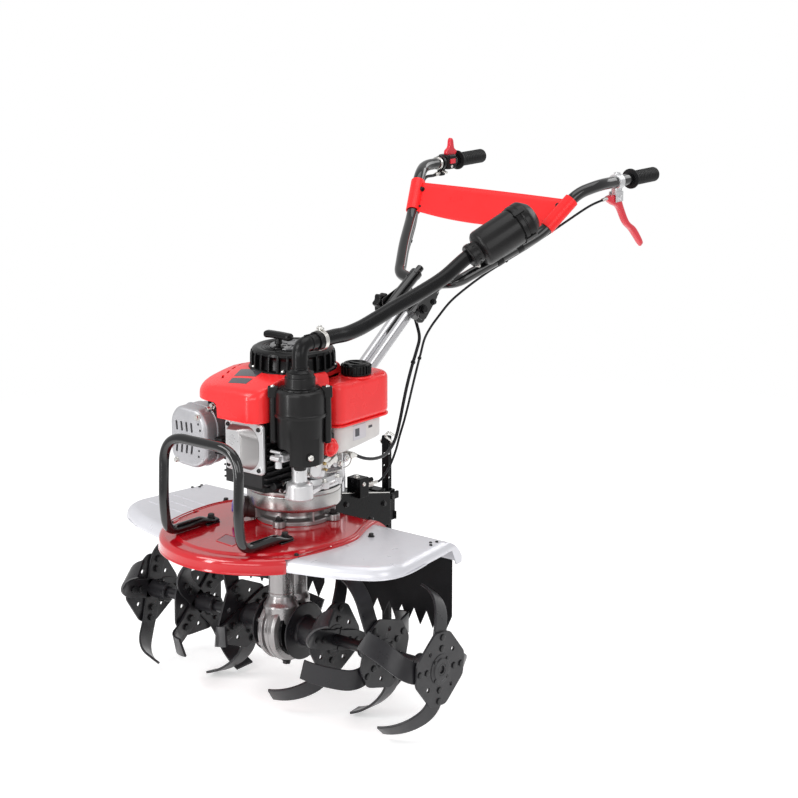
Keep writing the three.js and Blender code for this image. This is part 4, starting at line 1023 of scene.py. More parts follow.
def shroud_top(x, y):
    """Height of the shroud: level over the starter, then falling with the 1.2th power of the
    distance from the shaft."""
    out = np.maximum(0, (np.hypot(x, np.asarray(y) - SHAFT_Y) - 84) / 145.6)
    return SHROUD_TOP - 42 * out**1.2


def arc(x, y, r, a0, a1, count):
    """Points from angle a0 to a1 in degrees: centre plus radius times cosine and sine."""
    a = np.radians(np.linspace(a0, a1, count))
    return np.c_[x + r * np.cos(a), y + r * np.sin(a)]


def shroud_form():
    """Rings of the plan outline that shrink towards the shaft: an upright skirt, an edge rounded
    by a quarter ellipse, then the falling top."""
    plan = np.vstack([
        arc(0, SHAFT_Y, 100, -20, 200, 60), [(-128, -26)], arc(-70, -88, 58, 180, 270, 24),
        arc(22, -112, 34, 270, 360, 18), [(56, -66)]])
    plan = even(np.vstack([plan, plan[:1]]), 181)[:-1]
    hub = arr((0, SHAFT_Y))
    rings = [(1.0, None), (1.0, 1.0)]
    rings += [(1 - 0.085 * (1 - np.cos(a)), 1 - np.sin(a)) for a in np.radians((15, 30, 45, 60, 75, 90))]
    rings += [(s, 0.0) for s in (0.88, 0.84, 0.8, 0.75, 0.7, 0.62, 0.55, 0.4, 0.2, 0.02)]
    solid = []
    for shrink, drop in rings:
        p = hub + (plan - hub) * shrink
        z = np.full(len(p), SHROUD_LOW) if drop is None else shroud_top(*p.T) - 15 * drop
        solid.append(np.c_[p, z])
    return lofted(np.array(solid))


class TILLER_OT_shroud(bpy.types.Operator):
    """Red engine shroud with vent slots, a blank badge and the plug notch"""

    bl_idname = "tiller.shroud"
    bl_label = "Engine shroud"

    def execute(self, context):
        seat = turned([(0, 690), (88.3, 690), (88.3, 740), (0, 740)], (0, SHAFT_Y, 0), seg=96)
        tank = [brick(53.7, 200, 17.7, 300, 560, 740, 2), brick(33.7, 200, 115.7, 300, 560, 740, 2)]
        notch = fronted(slab(fillet(arr((-150, 590), (-47, 590), (-50, 642), (-150, 642)),
                                    (1, 1, 11, 1), 5, True), 84,
                             170, 0))
        box_room = rod((106, -75, 600), (106, -75, 720), 52, 64, 0)
        cutters = [seat, *tank, notch, box_room]
        for x, y, turn in ((-86, -72, 28), (-93, -48, 18), (-97, -24, 8), (-78, -96, 38)):
            cutters.append(spun(brick(x - 2.4, x + 2.4, y - 9, y + 9, 640, 720, 1), turn, (x, y, 0)))
        red = [carved(shroud_form(), cutters)]
        seam = tube([(x, y, SHROUD_LOW + 1.2)
                     for x, y in np.vstack([[(-45, -146.2)], arc(22, -112, 34.2, 270, 350, 18)])],
                    1.5, 10)
        red.append(seam)
        u, v = np.meshgrid(np.linspace(0, 1, 22), np.linspace(0, 1, 22), indexing="ij")
        a, b = arr((-63, -60)), arr((-4, -51))
        c, d = arr((-40, -122)), arr((2, -116))
        flat = ((1 - u)[..., None] * ((1 - v)[..., None] * a + v[..., None] * b)
                + u[..., None] * ((1 - v)[..., None] * c + v[..., None] * d))
        badge = np.dstack([flat, shroud_top(flat[..., 0], flat[..., 1])])
        frame_line = [patch(badge[:12], 0.5), patch(badge[14:], 0.5)]
        # A near-black block at the back of the plug notch, behind the zinc bits: painted shade.
        notch_shade = brick(-126, -46, -92, -82, 596, 644, 2)
        plug = [rod((-98, -122, 616), (-84, -100, 624), 4.5, 20, 1),
                rod((-106, -110, 608), (-90, -110, 608), 4, 20, 1),
                rod((-76, -108, 628), (-62, -96, 632), 5, 20, 1)]
        plug += bolt((-92, -112, 622), (0, -1, 0.3), 9, 5)
        plug += bolt((-70, -92.5, 616), (0, -1, 0), 8, 4)
        piece("shroud_shell", [
            (red, look["red_plastic"]), (frame_line, look["badge"]), ([notch_shade], look["slot_dark"]),
            (plug, look["zinc"])], "root", ["engine_shroud"])
        return {"FINISHED"}


class TILLER_OT_starter(bpy.types.Operator):
    """Ribbed recoil starter with its grey disc, flange screws and pull handle"""

    bl_idname = "tiller.starter"
    bl_label = "Recoil starter"

    def execute(self, context):
        at = (0, SHAFT_Y, 0)
        drum = [
            turned([(0, 690.4), (87.4, 690.4), (88, 692), (88, 695), (85, 697.5), (79, 698.5),
                    (77.5, 701), (77, 716), (78, 722), (82, 726), (80.5, 731), (75, 734.2), (70, 734.8),
                    (66, 733.4), (58, 732.6), (0, 732.6)],
                   at, seg=96),
        ]
        rib = laid(slab(arr((76, 697), (85.6, 697), (85, 720), (83.5, 727.5), (79, 732), (74, 733.6),
                            (70, 728)), -2.6,
                        2.6,
                        1.2, 2), (1, 0, 0), (0, 0, 1), at)
        drum += [spun(rib, 360 * k / 26, at) for k in range(26)]
        for k in range(3):
            drum.append(ring((0, SHAFT_Y, 732.8), (0, 0, 1), (62, 55, 50)[k], 1.2, 72))
        disc = [turned([(0, 732), (44, 732), (46, 734.4), (44.6, 736.4), (39, 736.9), (37.5, 735.8),
                        (0, 735.8)], at,
                       seg=72)]
        disc.append(turned([(0, 735), (12, 735), (11, 737.4), (0, 737.9)], at, seg=40))
        spokes = [spun(brick(14, 36, -2.2, 2.2, 735.4, 737, 0.6), 60 * k) for k in range(6)]
        disc += [shifted(s, 0, SHAFT_Y, 0) for s in spokes]
        screws = []
        for a in (-118, -62, 30, 150):
            x, y = 82.5 * np.cos(np.radians(a)), SHAFT_Y + 82.5 * np.sin(np.radians(a))
            drum.append(turned([(0, 693), (7.5, 693), (7, 698.6), (0, 698.6)], (x, y, 0), seg=24, edge=1))
            screws += screw((x * 0.995, y, 698.4), (0, 0, 1), 4.8, 3.2)
        piece("starter_drum",
              [(drum, look["black_plastic"]), (disc, look["disc_grey"]), (screws, look["zinc"])], "root",
              ["recoil_starter"])

        across = np.linspace(-1, 1, 25)
        width = 9.4 + 1.2 * np.abs(across) ** 3
        tall = 7.2 + 0.4 * across**2
        tip = np.sqrt(np.maximum(0, 1 - np.maximum(0, (np.abs(across) - 0.82) / 0.18) ** 2)) * 0.96 + 0.04
        a = np.linspace(0, TURN, 28, endpoint=False)
        rounder = (np.sign(np.cos(a)) * np.abs(np.cos(a)) ** 0.75,
                   np.sign(np.sin(a)) * np.abs(np.sin(a)) ** 0.75)
        bar = np.stack([
            np.broadcast_to(across[:, None] * 34.6, (25, 28)),
            -18 + rounder[0] * (width * tip)[:, None],
            762 + rounder[1] * (tall * tip)[:, None] - 1.2 * (across**2)[:, None]], axis=-1)
        grip = [lofted(bar), rod((0, -18, 744), (0, -18, 758), 8, 28, 2, 6.5),
                rod((0, -18, 735.4), (0, -18, 746), 5, 20)]
        cord = [rod((0, -18, 735.2), (0, -18, 750), 2.4, 16, 0.4)]
        eye = [turned([(2.8, 735.2), (12, 735.2), (11, 738.4), (7, 740.4), (2.8, 740)], (0, -18, 0),
                      seg=32, edge=0.6)]
        piece("pull_handle", [(grip + eye, look["black_plastic"]), (cord, look["label"])],
              "root", ["starter_handle"])
        return {"FINISHED"}


class TILLER_OT_exhaust(bpy.types.Operator):
    """Louvred muffler box on its bracket"""

    bl_idname = "tiller.exhaust"
    bl_label = "Muffler"

    def execute(self, context):
        outline = fillet(arr((-177, 518), (-160, 500), (-106, 497), (-79, 516), (-79, 590),
                             (-96, 617), (-158, 620), (-177, 596)), (14, 14, 16, 12, 16, 22, 26, 20),
                         6, closed=True)
        shell = fronted(slab(outline, 80, 147.6, 9, 6))
        rear = fronted(slab(moved_in(outline, 3), 66, 84, 5, 4))
        slots = []
        half = context.scene.tiller_sizes.vent_width / MM / 2
        for row, (z, tall) in enumerate(((580, 20), (538, 26))):
            for k in range(4):
                x = -158 + 13.5 * k
                slot = fronted(slab(rectangle(x - half, x + half, z - tall / 2, z + tall / 2, 2.5, 3),
                                    143.5, 160, 0))
                slots.append(spun(slot, 7 if row else -6, (x, 0, z), (0, 1, 0)))
        slots += [fronted(slab(circle(2.6, 20, (x, z)), 144, 160, 0))
                  for x, z in ((-99, 590), (-94, 578), (-98, 536), (-93, 545), (-99, 524))]
        shell = carved(shell, slots)
        # A near-black slab inside the box shows at the bottom of every slot and hole: painted shade.
        dark = fronted(slab(moved_in(outline, 12), 100, 144.2, 0.5, 1))
        bright = [shell, rear, fronted(slab(moved_in(outline, 1.5), 112, 114.5, 1, 2))]
        folded = moved_in(outline, -0.6)
        folded = np.c_[folded[:, 0], np.full(len(folded), -113.2), folded[:, 1]]
        bright.append(tube(np.vstack([folded, folded[:1]]), 1.6, 8))
        neck = brick(-80, -59.5, -124, -96, 528, 562, 3)
        bolts = bolt((-100, -147.2, 604), (0, -1, 0), 9, 5) + bolt((-160, -147.2, 508), (0, -1, 0), 8, 4)
        piece("muffler_box", [(bright, look["muffler_steel"]), ([dark], look["slot_dark"]),
                              ([neck], look["dark_casting"]), (bolts, look["zinc"])],
              "root", ["muffler"])
        return {"FINISHED"}


class TILLER_OT_cylinder(bpy.types.Operator):
    """Finned cylinder, bright rocker cover and the cast plate below them"""

    bl_idname = "tiller.cylinder"
    bl_label = "Cylinder and cover"

    def execute(self, context):
        finished_node("engine_block", look["dark_casting"], "fin_block",
                      0.5 * context.scene.tiller_sizes.block_edge / MM, 30)
        plate = fronted(slab(shift2(rectangle(-50, 50, -51, 51, 9, 5), 6, 558), 122, 128.5, 1.4))
        foot = fillet(arr((-33, 516), (30, 514), (45, 534), (45, 580), (26, 602), (-33, 600)),
                      (8, 14, 16, 16, 14, 8), 7, True)
        crest = fillet(arr((-28, 524), (4, 522), (9, 531), (9, 584), (2, 594), (-28, 592)),
                       (5, 5, 7, 7, 5, 5), 7, True)
        rings = []
        for out, rise in ((0, 0), (0, 2.5), (0.12, 4.5), (0.5, 10.5), (0.86, 15), (0.97, 16.2), (1.03, 16.6)):
            ring_at = foot + (crest - foot) * out
            rings.append(np.c_[ring_at[:, 0], np.full(len(ring_at), -127 - rise), ring_at[:, 1]])
        # The dome's sloping flanks take the darker cast finish while the crest and the plate stay bright:
        # painted shade on the flanks.
        dome = lofted(np.array(rings))
        inner = fronted(slab(crest, 140, 144.4, 0.9))
        posts = [fronted(slab(circle(9, 28, (6 + sx * 40, 558 + sz * 41)), 124, 130.5, 1.5)) for sx in (-1, 1)
                 for sz in (-1, 1)]
        cover = [plate, inner] + posts
        heads = []
        for sx in (-1, 1):
            for sz in (-1, 1):
                heads += screw((6 + sx * 40, -130.3, 558 + sz * 41), (0, -1, 0), 4.6, 4)
        gasket = fronted(slab(shift2(rectangle(-51, 51, -52, 52, 9, 5), 6, 558), 119.5, 122.2, 0.3))
        piece("rocker_cover",
              [(cover, look["bright_casting"]), ([dome], look["casting"]), (heads, look["bolt_black"]),
                               ([gasket], look["slot_dark"])], "root", ["head_cover"])

        z0 = 458.4
        base = [
            turned([(0, z0), (97, z0), (98.5, z0 + 1.5), (98.5, z0 + 6), (94, z0 + 8.5),
                    (92, z0 + 12), (90, z0 + 20), (0, z0 + 20)], (0, SHAFT_Y, 0), seg=96),
            slab(fillet(arr((30, -10), (84, -101), (119, -88), (92, 10)), 12, 5, True), z0, z0 + 9, 1.5),
            turned([(0, z0), (26, z0), (27, z0 + 3), (26, z0 + 29), (21, z0 + 34), (15, z0 + 36), (15, 534.6),
                    (0, 534.6)],
                   (100, -73, 0), seg=48, edge=1.5),
        ]
        for a in (-100, -62, -35, -8, 20, 60, 120, 180, 240):
            x, y = 93 * np.cos(np.radians(a)), SHAFT_Y + 93 * np.sin(np.radians(a))
            base.append(turned([(0, z0), (9.5, z0), (9, z0 + 13), (0, z0 + 13)], (x, y, 0), seg=28, edge=1))
        bolts = []
        for a in (-62, -35, -8, 20, 60):
            x, y = 93 * np.cos(np.radians(a)), SHAFT_Y + 93 * np.sin(np.radians(a))
            bolts += bolt((x, y, z0 + 13), (0, 0, 1), 8, 5)
        seam = [closed_ring(turned([(90, z0 - 2.4), (99.6, z0 - 2.4), (99.6, z0 + 0.6), (90, z0 + 0.6)],
                                   (0, SHAFT_Y, 0),
                                   seg=96, edge=0.3), 96)]
        dark = [
            slab(fillet(arr((-46, -106), (44, -112), (60, -84), (-40, -66)), 8, 4, True),
                 z0 + 8, z0 + 19, 1.5),
            rod((58, -104, z0 + 22), (58, -84, z0 + 22), 9, 24, 1.5),
            rod((76, -98, z0 + 16), (66, -70, z0 + 22), 4, 16, 1),
        ]
        piece("base_plate", [(base, look["bright_casting"]), (bolts, look["zinc"]),
                             (seam + dark, look["black_plastic"])],
              "root", ["engine_base"])
        return {"FINISHED"}


# ---------------------------------------------------------------- intake, carburettor, tank
class TILLER_OT_intake(bpy.types.Operator):
    """Upright intake box with its screwed ears, ribbed collar, elbow and primer knob"""

    bl_idname = "tiller.intake"
    bl_label = "Intake box"

    def execute(self, context):
        x, y = 106, -75
        upper = turned([(0, 628), (51, 628), (51.4, 630), (51.4, 634), (49.4, 635.5), (49, 641),
                        (49, 672), (47.6, 678), (43, 681), (38.6, 681.6), (38, 684), (31, 685.2), (30, 687),
                        (30, 703), (29.4, 704.6), (27.4, 705.4), (27, 713.4), (0, 713.4)], (x, y, 0), seg=96)
        lower = turned([(0, 531), (34, 531), (43, 533.5), (45, 537), (46, 600), (46.4, 629), (0, 629)],
                       (x, y, 0), seg=96)
        mouth = laid(slab(rectangle(-44, 10, 515, 567, 13, 5), 20, 70, 0), (1, 0, 0), (0, 0, 1), (x, y, 0))
        way = unit((0.93, -0.37, 0))
        flat = laid(slab(rectangle(-30, 30, 500, 588, 5), 41.6, 70, 0), unit((0.37, 0.93, 0)),
                    (0, 0, 1), (x, y, 0))
        room = brick(-60, 57, -139, -17, 400, 614, 1)
        inside = turned([(0, 528), (38, 528), (38, 572), (0, 572)], (x, y, 0), seg=48)
        lower = carved(lower, [mouth, flat, room, inside])
        upper = carved(upper, [brick(-40, 57, -165, -15, 606.5, 695, 1)])
        black = [upper, lower]
        for s in (1, -1):
            a = np.radians(39)
            ex, ey = x + s * 52 * np.cos(a), y + s * 52 * np.sin(a)
            for w, d, z0, z1 in ((7, 6, 574, 684), (10.5, 8, 664, 685)):
                lug = slab(rectangle(-w, w, -d, d, 3, 4), z0, z1, 1.6)
                black.append(shifted(spun(lug, 39), ex, ey, 0))
            black.append(turned([(0, 572), (5, 572), (8, 578), (8, 684), (0, 684)], (ex, ey, 0),
                                seg=28, edge=1))
        for k in range(16):
            a = np.radians(22.5 * k)
            black.append(spun(brick(x + 37.6, x + 39.4, y - 1, y + 1, 681, 684.6, 0.5), 22.5 * k, (x, y, 0)))
        black.append(brick(92, 104, -55, 29, 527, 572, 4))
        black.append(turned([(0, 524), (12, 524), (13, 534), (0, 534)], (x + 14, y - 18, 0), seg=28, edge=2))
        screws = []
        for s in (1, -1):
            a = np.radians(39)
            screws += screw((x + s * 53 * np.cos(a), y + s * 53 * np.sin(a), 684.6), (0, 0, 1), 5, 3)
        at = np.add((x, y, 551), way * 42)
        boss = turned([(0, -3), (9, -3), (9, 2), (0, 2)], at, way, 28, 0.8)
        screws += screw(at + way * 1.8, way, 6.2, 3)
        silver = [
            brick(67, 92, -112, -84, 536, 552, 3), rod((70, -120, 545), (92, -120, 545), 5.5, 24, 1),
            rod((62, -113, 556), (88, -113, 556), 3, 16, 0.6),
            rod((80, -111, 524), (80, -111, 546), 7, 24, 1.5),
        ]
        piece("intake_body", [(black + [boss], look["canister_plastic"]), (screws, look["zinc"]),
                              (silver, look["bright_casting"])], "root", ["intake_box"])

        path = fillet(arr((x, y, 713.8), (x, y, 766), (x, -6.4, 766)), 29, 14)
        path = even(path, 60)
        radius = np.full(60, 15.6)
        radius[:4] = (23.5, 21, 18, 16)
        elbow = [tube(path, radius, 40)]
        elbow += [rod((x, -30, 766), (x, -6.4, 766), 19, 44, 1.6),
                  rod((x, -50, 766), (x, -46, 766), 17, 40, 1), ring((x, y, 722), (0, 0, 1), 16, 1.4, 40)]
        elbow.append(brick(x - 1.2, x + 1.2, -62, -30, 778, 783.6, 0.8))
        piece("elbow_pipe", [(elbow, look["black_plastic"])], "root", ["intake_elbow"])

        p = (104.6, 9, 546)
        knob = [turned([(0, 0), (18, 0), (18.4, 1.2), (18.4, 7), (17, 8.6), (15.4, 9.4),
                        (14.8, 12), (13, 15.6), (9, 18.4),
                        (5.4, 19.2), (5, 20.2), (0, 20.4)], p, (1, 0, 0), 56)]
        knob += [ring((112.5, 9, 546), (1, 0, 0), 17.6, 1.0, 56),
                 ring((119.6, 9, 546), (1, 0, 0), 11.6, 0.8, 56)]
        ridge = brick(103.8, 112.6, 25.4, 27.6, 543.8, 548.2, 0.7)
        knob += [spun(ridge, 20 * k, (0, 9, 546), (1, 0, 0)) for k in range(18)]
        piece("primer_bulb", [(knob, look["red_plastic"])], "root", ["primer_knob"])
        return {"FINISHED"}


class TILLER_OT_carburettor(bpy.types.Operator):
    """Carburettor with its bowl, levers, springs and the throttle linkage"""

    bl_idname = "tiller.carburettor"
    bl_label = "Carburettor"

    def execute(self, context):
        z = 506
        cast_parts = [
            rod((46.5, -22, z), (99, -22, z), 17, 40, 1.5), brick(58, 92, -44, 14, z - 16, z + 18, 3),
            turned([(0, z - 26), (15, z - 26), (19, z - 21), (19, z - 8), (0, z - 8)], (76.3, 2, 0),
                   seg=44, edge=2),
            brick(62, 88, 14, 40, z - 12, z + 14, 3), rod((60, 52, z - 4), (88, 52, z - 4), 10, 32, 1.5),
            brick(56, 96, 60, 64, z - 20, z + 16, 1), rod((66, 30, z + 12), (66, 30, z + 26), 6, 24, 1),
            rod((76, -36, z + 16), (76, -36, z + 27), 7, 24, 1),
            rod((70, 74, z + 2), (98, 74, z + 2), 8, 28, 1.4),
        ]
        plates = [
            brick(84.4, 87.6, 4, 96, z - 3, z + 9, 0.8), brick(94, 96.4, -30, 26, z + 6, z + 14, 0.8),
            spun(brick(96.2, 98.4, 14, 46, z - 4, z + 6, 0.8), 24, (97, 20, z), (1, 0, 0)),
            rod((72, 92, z + 4), (98, 92, z + 4), 7, 28, 1),
            rod((78, 40, z + 4), (98, 40, z + 4), 5, 24, 0.8),
            rod((90, -20, z + 10), (101, -20, z + 10), 6, 24, 0.8),
            tube([(97, -16, z + 8), (97, 36, z + 2)], 1.5, 8),
            tube(flowing(arr((92, 92, z + 8), (96, 70, z + 20), (96, 30, z + 18), (94, 4, z + 12)), 30), 1.3,
                 8), tube(flowing(arr((90, 98, z), (94, 84, z - 14), (90, 40, z - 20), (86, 8, z - 16)), 30),
                          1.3, 8),
        ]
        springs = [coil((90, 14, z + 22), (94, 62, z + 14), 3.4, 0.8, 11),
                   coil((88, 60, z - 10), (92, 88, z + 2), 3, 0.7, 8)]
        bolts = bolt((96.2, 52, z - 4), (1, 0, 0), 9, 5) + bolt((92, -36, z - 6), (1, 0, 0), 8, 4)
        bolts += screw((98.2, 74, z + 2), (1, 0, 0), 5) + bolt((76, 2, z - 26), (0, 0, -1), 8, 5)
        brass = [rod((92, 4, z + 6), (101, 4, z + 6), 3.6, 20, 0.6),
                 rod((92, 10, z - 8), (99, 10, z - 8), 3, 20, 0.6)]
        black = [brick(60, 86, -40, -8, z + 17, z + 25, 2),
                 rod((60, 20, z + 20), (94, 20, z + 20), 4, 20, 0.8)]
        piece("carburettor_set", [
            (cast_parts, look["bright_casting"]), (plates + springs + bolts, look["zinc"]),
            (brass, look["brass"]), (black, look["black_plastic"])], "root",
              ["carburettor"])
        return {"FINISHED"}


def tank_plan(inset):
    """The tank wraps round the rear left of the shroud, so its plan is an L."""
    x1, y0, y1 = 122 - inset, 18 + inset, 192 - inset
    corners = arr((54, y0), (x1, y0), (x1, y1), (34, y1), (34, 116), (54, 116))
    return fillet(corners, (18, 26, 36, 24, 16, 6), 8, closed=True)


class TILLER_OT_tank(bpy.types.Operator):
    """Milky fuel tank under its red cover, with the ribbed cap"""

    bl_idname = "tiller.tank"
    bl_label = "Fuel tank"

    def execute(self, context):
        lower = slab(tank_plan(12), 524, 582, 10, 6)
        wedge = laid(slab(arr((10, 523), (204, 545), (204, 500), (10, 500)), 20, 130, 0),
                     (0, 1, 0), (0, 0, 1))
        primer = brick(40, 150, 0, 32, 510, 581.5, 2)
        tank = [carved(lower, [wedge, primer])]
        tank.append(tube(np.c_[np.vstack([tank_plan(11.6), tank_plan(11.6)[:1]]),
                               np.full(len(tank_plan(12)) + 1, 579)],
                         1.2, 8))
        blank = laid(slab(rectangle(0, 40, 0, 30, 2, 3), 0, 0.8, 0.2, 1), (0, 1, 0), (0, 0, 1),
                     (109.8, 78, 545))
        small = [laid(slab(rectangle(0, 13, 0, 16, 1, 3), 0, 0.9, 0.2, 1), (0, 1, 0), (0, 0, 1),
                      (110, 84, 552))]
        small.append(laid(slab(rectangle(0, 11, 0, 5, 1, 3), 0, 0.9, 0.2, 1), (0, 1, 0), (0, 0, 1),
                          (110, 126, 562)))
        piece("tank_body", [(tank, look["tank"]), ([blank], look["label"]), (small, look["badge"])],
              "root", ["fuel_tank"])

        cover = slab(tank_plan(0), 582.4, 672, 14, 8)
        groove = [spun(brick(80, 96, 33.6, 35, 669.5, 680, 0.5), 20, (88, 34, 0)),
                  spun(brick(98, 112, 50, 51.4, 669.5, 680, 0.5), 68, (105, 50, 0))]
        cover = carved(cover, groove)
        red = [cover]
        red.append(slab(tank_plan(-0.8)[:], 582.4, 586, 0.8, 2))
        ringed = turned([(0, 670), (36, 670), (35, 673.4), (0, 673.4)], (90, 112, 0), seg=56, edge=1.5)
        red.append(ringed)
        piece("tank_cover", [(red, look["red_plastic"])], "root", ["tank_shroud"])

        c = (90, 112, 0)
        cap = [turned([(0, 673.8), (30, 673.8), (30.6, 675), (30.6, 677), (28.4, 678.4), (28, 690), (27, 694),
                       (24, 696.8),
                       (21.5, 697), (20.4, 695.6), (19.6, 694.4), (0, 694.4)], c, seg=64)]
        rib = brick(117.4, 121, 110.4, 113.6, 675, 693.4, 1)
        cap += [spun(rib, 15 * k, c) for k in range(24)]
        cap.append(brick(74, 106, 109, 115, 694, 696.6, 1))
        piece("cap_moulding", [(cap, look["black_plastic"])], "root", ["fuel_cap"])
        return {"FINISHED"}


# ---------------------------------------------------------------- clutch drum and bumper
class TILLER_OT_clutch(bpy.types.Operator):
    """Turned clutch drum on its lugged foot, with the filler boss and blue plug"""

    bl_idname = "tiller.clutch"
    bl_label = "Clutch housing"

    def execute(self, context):
        at = (0, SHAFT_Y, 0)
        drum = [turned([(0, 412), (86, 412), (92, 413.4), (95, 417), (96, 421), (96, 444),
                        (95, 446), (96, 448), (96, 457.6),
                        (0, 457.6)], at, seg=128)]
        foot = [turned([(0, 381.4), (78, 381.4), (78, 389), (76, 391), (69, 391.4), (65, 394),
                        (64, 398), (64, 412.6), (0, 412.6)], at, seg=96, edge=0.8)]
        for a in (20, 110, 200, 290):
            x, y = 84 * np.cos(np.radians(a)), SHAFT_Y + 84 * np.sin(np.radians(a))
            foot.append(turned([(0, 381.4), (13, 381.4), (12.6, 394.6), (0, 394.6)], (x, y, 0),
                               seg=36, edge=1.5))
            arm_x, arm_y = 66 * np.cos(np.radians(a)), SHAFT_Y + 66 * np.sin(np.radians(a))
            foot.append(spun(brick(arm_x - 10, arm_x + 10, arm_y - 11, arm_y + 11, 381.4, 394, 2), a,
                             (arm_x, arm_y, 0)))
        rib = brick(60, 87, SHAFT_Y - 2, SHAFT_Y + 2, 390, 412.6, 1)
        foot += [spun(rib, 45 * (k + 0.5), at) for k in range(8)]
        start, face = arr((-40, -31, 401), (-66, -60, 408))
        way = unit(face - start)
        boss = [turned([(0, 0), (19, 0), (20, 8), (20, 30), (22, 32), (22, 38.4), (0, 38.4)],
                       start, way, 48, 0.8)]
        bolts = []
        for a in (20, 110, 200, 290):
            x, y = 84 * np.cos(np.radians(a)), SHAFT_Y + 84 * np.sin(np.radians(a))
            bolts += bolt((x, y, 394.4), (0, 0, 1), 12, 7, turn=a)
        piece("clutch_drum", [(drum, look["brushed"]), (foot, look["casting"]), (boss, look["brown_casting"]),
                              (bolts, look["bolt_black"])], "root", ["clutch_housing"])
        seat = face + way * 0.4
        plug = [rod(seat, seat + way * 10, 10, 28, 1),
                turned([(0, 8), (13, 8), (14, 10), (14, 17), (12, 19.6), (0, 19.6)],
                      seat, way, 36, 0.6)]
        u, v, _ = axes_of(way)
        wing = [laid(slab(rectangle(-10, 10, -1.6, 1.6, 1.2, 3), 18, 20.2, 0.6, 2), u, v, seat)]
        piece("filler_plug", [(plug + wing, look["blue_plastic"])], "root", ["oil_filler"])
        return {"FINISHED"}


class TILLER_OT_bumper(bpy.types.Operator):
    """Bent tube bumper on two flattened feet, each bolted to the deck"""

    bl_idname = "tiller.bumper"
    bl_label = "Bumper"

    def execute(self, context):
        half = arr((99, -105, 391.8), (99, -240, 391.8), (99, -248, 452), (99, -242, 589))
        line = np.vstack([half, half[::-1] * (-1, 1, 1)])
        path = even(fillet(line, (0, 50, 30, 56, 56, 30, 50, 0), 14), 240)
        flat = np.clip((np.r_[np.arange(120), np.arange(119, -1, -1)] - 2) / 12, 0, 1)
        flat = flat * flat * (3 - 2 * flat)
        a = np.linspace(0, TURN, 36, endpoint=False)
        rise = 4.5 + 5.5 * flat[:, None]
        side = 13 - 3 * flat[:, None]
        section = np.dstack([side * np.cos(a), rise * np.sin(a) - (10 - rise) * 0.95])
        hoop = swept(path, section, up=(0, 0, 1))
        bolts = []
        for s in (1, -1):
            bolts += bolt((s * 99, -116, 391.4), (0, 0, 1), 12, 7)
        pads = both(slab(rectangle(86, 112, -139, -101, 6, 5), 381.3, 384, 0.8))
        piece("bumper_tube", [([hoop] + pads, look["black_enamel"]), (bolts, look["bolt_black"])], "root",
              ["bumper_hoop"])
        return {"FINISHED"}


# ---------------------------------------------------------------- rear bracket, stake, column
def slope_at(y):
    """Height of the bracket's sloping top: it falls 40 mm over 186 mm."""
    return 412 - 40 * (np.asarray(y, float) - 118) / 186


class TILLER_OT_bracket(bpy.types.Operator):
    """Rear bracket with its cable stop, depth stake and hairpin"""

    bl_idname = "tiller.bracket"
    bl_label = "Bracket and stake"

    def execute(self, context):
        finished_node("rear_bracket", look["black_satin"], "bracket_block",
                      context.scene.tiller_sizes.block_edge / MM, 30)
        extra, zinc, blacks = [], [], []
        rail = np.array([(y, slope_at(y) + 0.2) for y in (130, 292)])
        for s in (1, -1):
            path = np.c_[np.full(2, s * 27.5), rail]
            zinc.append(swept(even(path, 6), rectangle(-2.4, 2.4, -0.9, 0.9, 0.5, 2), up=(0, 0, 1)))
            for y, dz in ((150, 24), (272, 24)):
                blacks += bolt((s * 30.1, y, float(slope_at(y)) - dz), (s, 0, 0), 9, 3.5)
        extra.append(brick(-14, 14, 214, 258, 388, 398, 2))
        extra.append(brick(-22, 22, 262, 288, 376, 384, 1.5))
        zinc += bolt((-8, 236, 398), (0, 0, 1), 11, 6) + bolt((12, 244, 396), (0, 0, 1), 9, 5)
        zinc += screw((44.2, 190, 418), (1, 0, 0), 4.6) + bolt((28, 186, float(slope_at(190)) + 34),
                                                               (0, 0, 1), 9, 5)
        zinc.append(coil((36.6, 208, 411.6), (38, 224, 411.6), 5.4, 1.1, 6))
        zinc.append(rod((36.5, 206, 411.5), (38.4, 228, 411.5), 3.2, 20, 0.6))
        blacks += bolt((0, 329.2, 330), (0, 1, 0), 13, 6)
        zinc.append(brick(-20, 20, 326.2, 328.0, 306, 324, 0.6))
        extra += [brick(15.2, 21, 300, 334, 352, 368, 1), brick(-21, -15.2, 300, 334, 352, 368, 1)]
        blacks += bolt((21, 308, 360), (1, 0, 0), 10, 5) + bolt((-21, 308, 360), (-1, 0, 0), 10, 5)
        piece("bracket_fittings",
              [(extra, look["black_satin"]), (zinc, look["zinc"]), (blacks, look["bolt_black"])],
              "root")

        bar = laid(slab(rectangle(-9, 9, 0.3, 488.7, 2.2, 3), -6, 6, 1.2, 2), (1, 0, 0),
                   (0, 0, 1), (0, 318, 0))
        holes = [rod((0, 290, 475 - 26 * k), (0, 340, 475 - 26 * k), 4.3, 28, 0) for k in range(5)]
        side_holes = [rod((-30, 318, 475 - 26 * k), (30, 318, 475 - 26 * k), 4.3, 28, 0) for k in range(5)]
        bar = carved(bar, side_holes + holes[1:])
        piece("stake_bar", [([bar], look["black_satin"])], "drag_stake", ["drag_stake"])
        pin_path = fillet(arr((-17, 318, 475), (13, 318, 475), (19, 318, 475), (19, 290, 496), (19, 300, 504),
                              (19, 322, 490)), (0, 0, 6, 8, 6, 0), 6)
        pin = [tube(even(pin_path, 70), 2.6, 14),
               turned([(0, 0), (6.5, 0), (6.5, 2), (0, 2)], (-12.4, 318, 475),
                                                         (1, 0, 0),
                                                        24, 0.4)]
        piece("pin_wire", [(pin, look["zinc"])], "drag_stake", ["stake_pin"])
        return {"FINISHED"}


